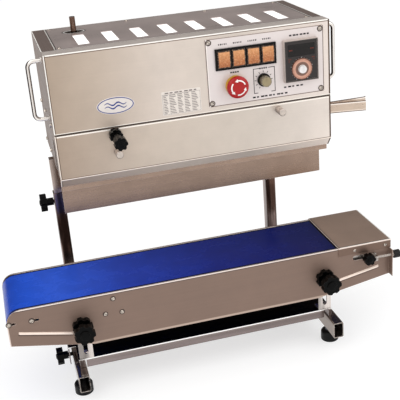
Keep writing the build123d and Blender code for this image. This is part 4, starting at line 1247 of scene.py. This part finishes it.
parts = marks(LABEL_X0 + 7, 10.0, (7.4, 6.0, 8.2, 5.2, 7.6, 6.6, 5.0),
              LABEL_Z1 - 4.4, LABEL_Z1 - 2.2, -0.55, -0.3)
columns = [LABEL_X0 + x for x in (3.5, 15.5, 32.5, 46.5, 61.5)] + [LABEL_X1 - 3.0]
FILLS = (0.92, 0.70, 0.84, 0.58, 0.78)  # share of a column that a line of text takes
for row in range(12):
    z = LABEL_Z1 - 8.0 - row * 3.35
    for i in range(5):
        width = (columns[i + 1] - columns[i] - 2.2) * FILLS[(row * 3 + i * 2) % 5]
        parts.append(block(columns[i], columns[i] + width, *LABEL_INK, z - 0.62, z + 0.62))
for x in (LABEL_X0 + 1.6, LABEL_X1 - 2.0):
    parts.append(block(x, x + 0.4, *LABEL_INK, LABEL_Z0 + 2, LABEL_Z1 - 6))
for z in (LABEL_Z1 - 6.0, LABEL_Z0 + 1.6):
    parts.append(block(LABEL_X0 + 1.6, LABEL_X1 - 1.6, *LABEL_INK, z - 0.2, z + 0.2))
add("instruction_print", parts, "print_ink_light", "head", smooth=False)


# ---------------------------------------------------------------- control plate print
def tick(x, z, degrees, inner, outer, half_width, back, front):
    """Radial scale mark about x, z; 0 degrees points up."""
    angle = math.radians(degrees)
    along = Vector((math.sin(angle), 0, math.cos(angle)))
    across = Vector((math.cos(angle), 0, -math.sin(angle))) * half_width
    corners = [along * inner + across, along * outer + across,
               along * outer - across, along * inner - across]
    return prism(*([at(x + p.x, y, z + p.z) for p in corners] for y in (back, front)))


PLATE_FACE = -1.5
PLATE_INK = (PLATE_FACE - 0.15, PLATE_FACE)
stop_x, stop_z = centre("estop_button")
speed_x, speed_z = centre("speed_knob")

parts = []
ROCKER_WORDS = (1.9, 2.6, 1.6, 2.2, 1.8)
for k in range(4):
    x, _ = centre("rocker_%d" % (k + 1))
    widths = [ROCKER_WORDS[(i + k) % 5] for i in range(5)]
    parts += marks(x - 9.4, 3.9, widths, 629.2, 632.2, *PLATE_INK)
parts += marks(stop_x - 9, 4.8, [3.6] * 4, 570.0, 573.0, *PLATE_INK)
# square frame round the speed knob, with gaps in its top and bottom sides
fx0, fx1, fz0, fz1 = 413.0, 459.5, 520.5, 572.5
for x0, x1, z0, z1 in (
    (fx0, fx0 + 1.4, fz0 + 1.42, fz1 - 1.42), (fx1 - 1.4, fx1, fz0 + 1.42, fz1 - 1.42),
    (fx0, fx0 + 9, fz0, fz0 + 1.4), (fx1 - 9, fx1, fz0, fz0 + 1.4),
    (fx0, fx0 + 14, fz1 - 1.4, fz1), (fx1 - 14, fx1, fz1 - 1.4, fz1),
):
    parts.append(block(x0, x1, *PLATE_INK, z0, z1))
parts += marks(speed_x - 8, 4.4, [3.1] * 4, 570.2, 573.2, *PLATE_INK)
parts += [tick(speed_x, speed_z, -150 + 30 * i, 15.6, 19.4, 0.6, PLATE_FACE, PLATE_FACE - 0.15)
          for i in range(11)]
# captions: x, pitch, widths, stretch of the widths, z from and to
for x, pitch, widths, stretch, z0, z1 in (
    (410, 8.7, (5.0, 3.6, 6.2, 4.4, 5.4, 3.2, 6.0, 4.0, 4.6), 1.2, 511.4, 514.6),
    (493, 7.6, (4.2, 5.4, 3.6, 5.0, 4.6, 3.8), 1.15, 628.6, 631.8),
    (478, 9.0, (4.2, 5.4, 3.6, 5.0, 4.6), 1.2, 523.6, 526.6),
):
    parts += marks(x, pitch, [width * stretch for width in widths], z0, z1, *PLATE_INK)
add("control_print", parts, "print_ink", "head", smooth=False)

# ---------------------------------------------------------------- temperature controller
case = drawing_box("controller")
recess = case.y0 + 1.0  # floor of the face's recess
wx0, wx1, wz0, wz1 = case.x0 + 7.5, case.x1 - 7.5, case.z1 - 33.0, case.z1 - 8.5  # window
middle = (wx0 + wx1) / 2
add("controller_window", [
    rounded_plate(wx0, wx1, wz0, wz1, 1.6, recess, recess - 0.5),
    rounded_plate(middle - 15, middle + 15, wz0 + 3.5, wz1 - 3.0, 1.2, recess - 0.4, recess - 0.8),
], "display_glass", "head", smooth=False)

parts = []
for x in (wx0 + 2.4, wx1 - 9.6):
    parts += marks(x, 2.6, [1.6] * 3, wz0 + 12.0, wz0 + 14.2, recess - 0.65, recess - 0.3)
for x, z in (
    (case.x0 + 8.5, wz0 - 5), (case.x0 + 12.0, wz0 - 5), (case.x1 - 14.0, wz0 - 5),
    (case.x1 - 10.5, wz0 - 5), (case.x1 - 10.5, wz0 - 9.5), (case.x0 + 8.5, wz0 - 9.5),
):
    parts.append(block(x, x + 2.2, recess - 0.2, recess + 0.1, z - 0.8, z + 0.8))
add("controller_print", parts, "print_red", "head", smooth=False)

dial_x, dial_z = centre("temp_dial")
add("controller_scale", [
    tick(dial_x, dial_z, -150 + 15 * i, 22.6, 24.4 if i % 5 == 0 else 23.4, 0.3,
         recess + 0.1, recess - 0.2) for i in range(21)
], "white_print", "head", smooth=False)

# ---------------------------------------------------------------- stop button arrows
CROWN = ((0, -26.2), (12, -25.7), (18.6, -24.0), (22.3, -21.4))  # radius, y of the mushroom face


def crown_point(radius, angle, lift):
    """Point standing lift in front of the mushroom's face."""
    for (r0, y0), (r1, y1) in zip(CROWN, CROWN[1:]):
        if radius <= r1:
            y = y0 + (y1 - y0) * (radius - r0) / (r1 - r0)
            break
    return at(stop_x + radius * math.cos(angle), y - lift, stop_z + radius * math.sin(angle))


ARC_STEPS = 14
parts = []
for turn in range(3):
    start = math.radians(20 + 120 * turn)
    sweep = math.radians(74)
    angles = [start + sweep * k / ARC_STEPS for k in range(ARC_STEPS + 1)]
    parts.append(ribbon([[crown_point(radius, angle, lift) for angle in angles]
                         for lift in (-0.05, 0.32) for radius in (13.4, 16.0)]))
    end = start + sweep
    arrowhead = ((11.2, end), (18.2, end), (14.8, end + math.radians(24)))
    parts.append(prism(*([crown_point(radius, angle, lift) for radius, angle in arrowhead]
                         for lift in (-0.05, 0.34))))
add("estop_arrows", parts, "white_print", "estop_button", smooth=False)

# ---------------------------------------------------------------- cable gland and motor fins
foot = Vector((ORIGIN[0] + 0.520, rear_hi.y, 0.440))
add("cable_gland", [
    lathe(foot, BACK, [(0, 0), (12, 0), (12, 1.5), (11, 2), (0, 2)]),
    lathe(foot + Vector((0, 0.002, 0)), BACK,
          [(0, 0), (10.5, 0), (10.5, 4.2), (9.8, 5.0), (0, 5.0)], 6),
], "black_trim", "head")
FIN = [(30.4, 0), (34.0, 0.2), (34.0, 1.6), (30.4, 1.8), (30.4, 0)]
add("motor_fins", [lathe(at(134 + k * 10.5, 150, 554), RIGHT, FIN, 36) for k in range(12)],
    "motor_paint", "head")

# ---------------------------------------------------------------- floor
HALF_FLOOR = 30.0
mesh = bpy.data.meshes.new("floor")
mesh.from_pydata([(x * HALF_FLOOR, y * HALF_FLOOR, 0)
                  for x, y in ((-1, -1), (1, -1), (1, 1), (-1, 1))], [], [(0, 1, 2, 3)])
floor = bpy.data.objects.new("floor", mesh)
bpy.context.scene.collection.objects.link(floor)
k = Material("floor_pale")
patches = k.noise(scale=3.0, detail=3, roughness=0.5)
k.surface({
    "Base Color": k.mix(patches, (0.46, 0.46, 0.46, 1), (0.48, 0.48, 0.48, 1)),
    "Roughness": 0.95,
    "Specular IOR Level": 0.0,
    "Emission Color": (1, 1, 1, 1),
    "Emission Strength": 0.60,
})
mesh.materials.append(MATERIALS["floor_pale"])

# ---------------------------------------------------------------- world
world = bpy.data.worlds.new("studio")
bpy.context.scene.world = world
world.use_nodes = True
graph = Graph(world.node_tree)


def background(colour, strength):
    node = graph.node("ShaderNodeBackground")
    graph.feed(node.inputs[0], colour)
    graph.feed(node.inputs[1], strength)
    return node.outputs[0]


def mix_shaders(factor, a, b):
    node = graph.node("ShaderNodeMixShader")
    for socket, value in zip(node.inputs, (factor, a, b)):
        graph.feed(socket, value)
    return node.outputs[0]


output = graph.node("ShaderNodeOutputWorld")
ray = graph.node("ShaderNodeLightPath").outputs
direction = graph.separate(graph.coord("Generated"))
# reflections see a bright room in front and overhead, and a dim one behind the machine
bright = graph.math("MAXIMUM", graph.remap(direction[1], 0.35, -0.15, smooth=True),
                    graph.remap(direction[2], 0.62, 0.95, smooth=True))
room = graph.mix(bright, (0.20, 0.185, 0.175, 1), (1.0, 0.985, 0.965, 1))
reflected = background(room, strength=1.0)
soft = background((1, 1, 1, 1), strength=0.86)
backdrop = background((1, 1, 1, 1), strength=1.0)
lighting = mix_shaders(ray["Is Glossy Ray"], soft, reflected)
graph.feed(output.inputs[0], mix_shaders(ray["Is Camera Ray"], lighting, backdrop))


# ---------------------------------------------------------------- lights
def area(name, place, target, size, power):
    light = bpy.data.lights.new(name, "AREA")
    light.shape = "RECTANGLE"
    light.size, light.size_y = size
    light.energy = power
    thing = bpy.data.objects.new(name, light)
    bpy.context.scene.collection.objects.link(thing)
    thing.location = place
    thing.rotation_mode = "QUATERNION"
    thing.rotation_quaternion = (Vector(target) - Vector(place)).to_track_quat("-Z", "Y")


area("key", place=(-1.6, -1.8, 2.4), target=(0, 0, 0.3), size=(2.2, 1.8), power=16)
area("fill", place=(1.9, -1.4, 1.8), target=(0, 0, 0.3), size=(2.0, 1.8), power=12)
area("top", place=(0.0, 0.2, 2.8), target=(0, 0, 0), size=(2.4, 2.0), power=10)

# ---------------------------------------------------------------- camera
# yaw turns the view to the right, pitch tips it down, roll tilts it about the line of sight
yaw, pitch, roll = (math.radians(angle) for angle in (13.28, 22.53, -4.63))
lens = bpy.data.cameras.new("camera")
camera = bpy.data.objects.new("camera", lens)
bpy.context.scene.collection.objects.link(camera)
forward = Vector((math.sin(yaw) * math.cos(pitch), math.cos(yaw) * math.cos(pitch),
                  -math.sin(pitch)))
level = Vector((math.cos(yaw), -math.sin(yaw), 0))
upright = level.cross(forward)
right = level * math.cos(roll) + upright * math.sin(roll)
up = upright * math.cos(roll) - level * math.sin(roll)
camera.rotation_mode = "QUATERNION"
camera.rotation_quaternion = Matrix((right, up, -forward)).transposed().to_quaternion()
camera.location = at(-99.12, -1613.56, 995.5)
lens.sensor_width = 36.0
lens.lens = 76.491
lens.clip_start, lens.clip_end = 0.05, 100.0
bpy.context.scene.camera = camera
bpy.context.scene.view_settings.view_transform = "Standard"
bpy.context.scene.view_settings.look = "None"
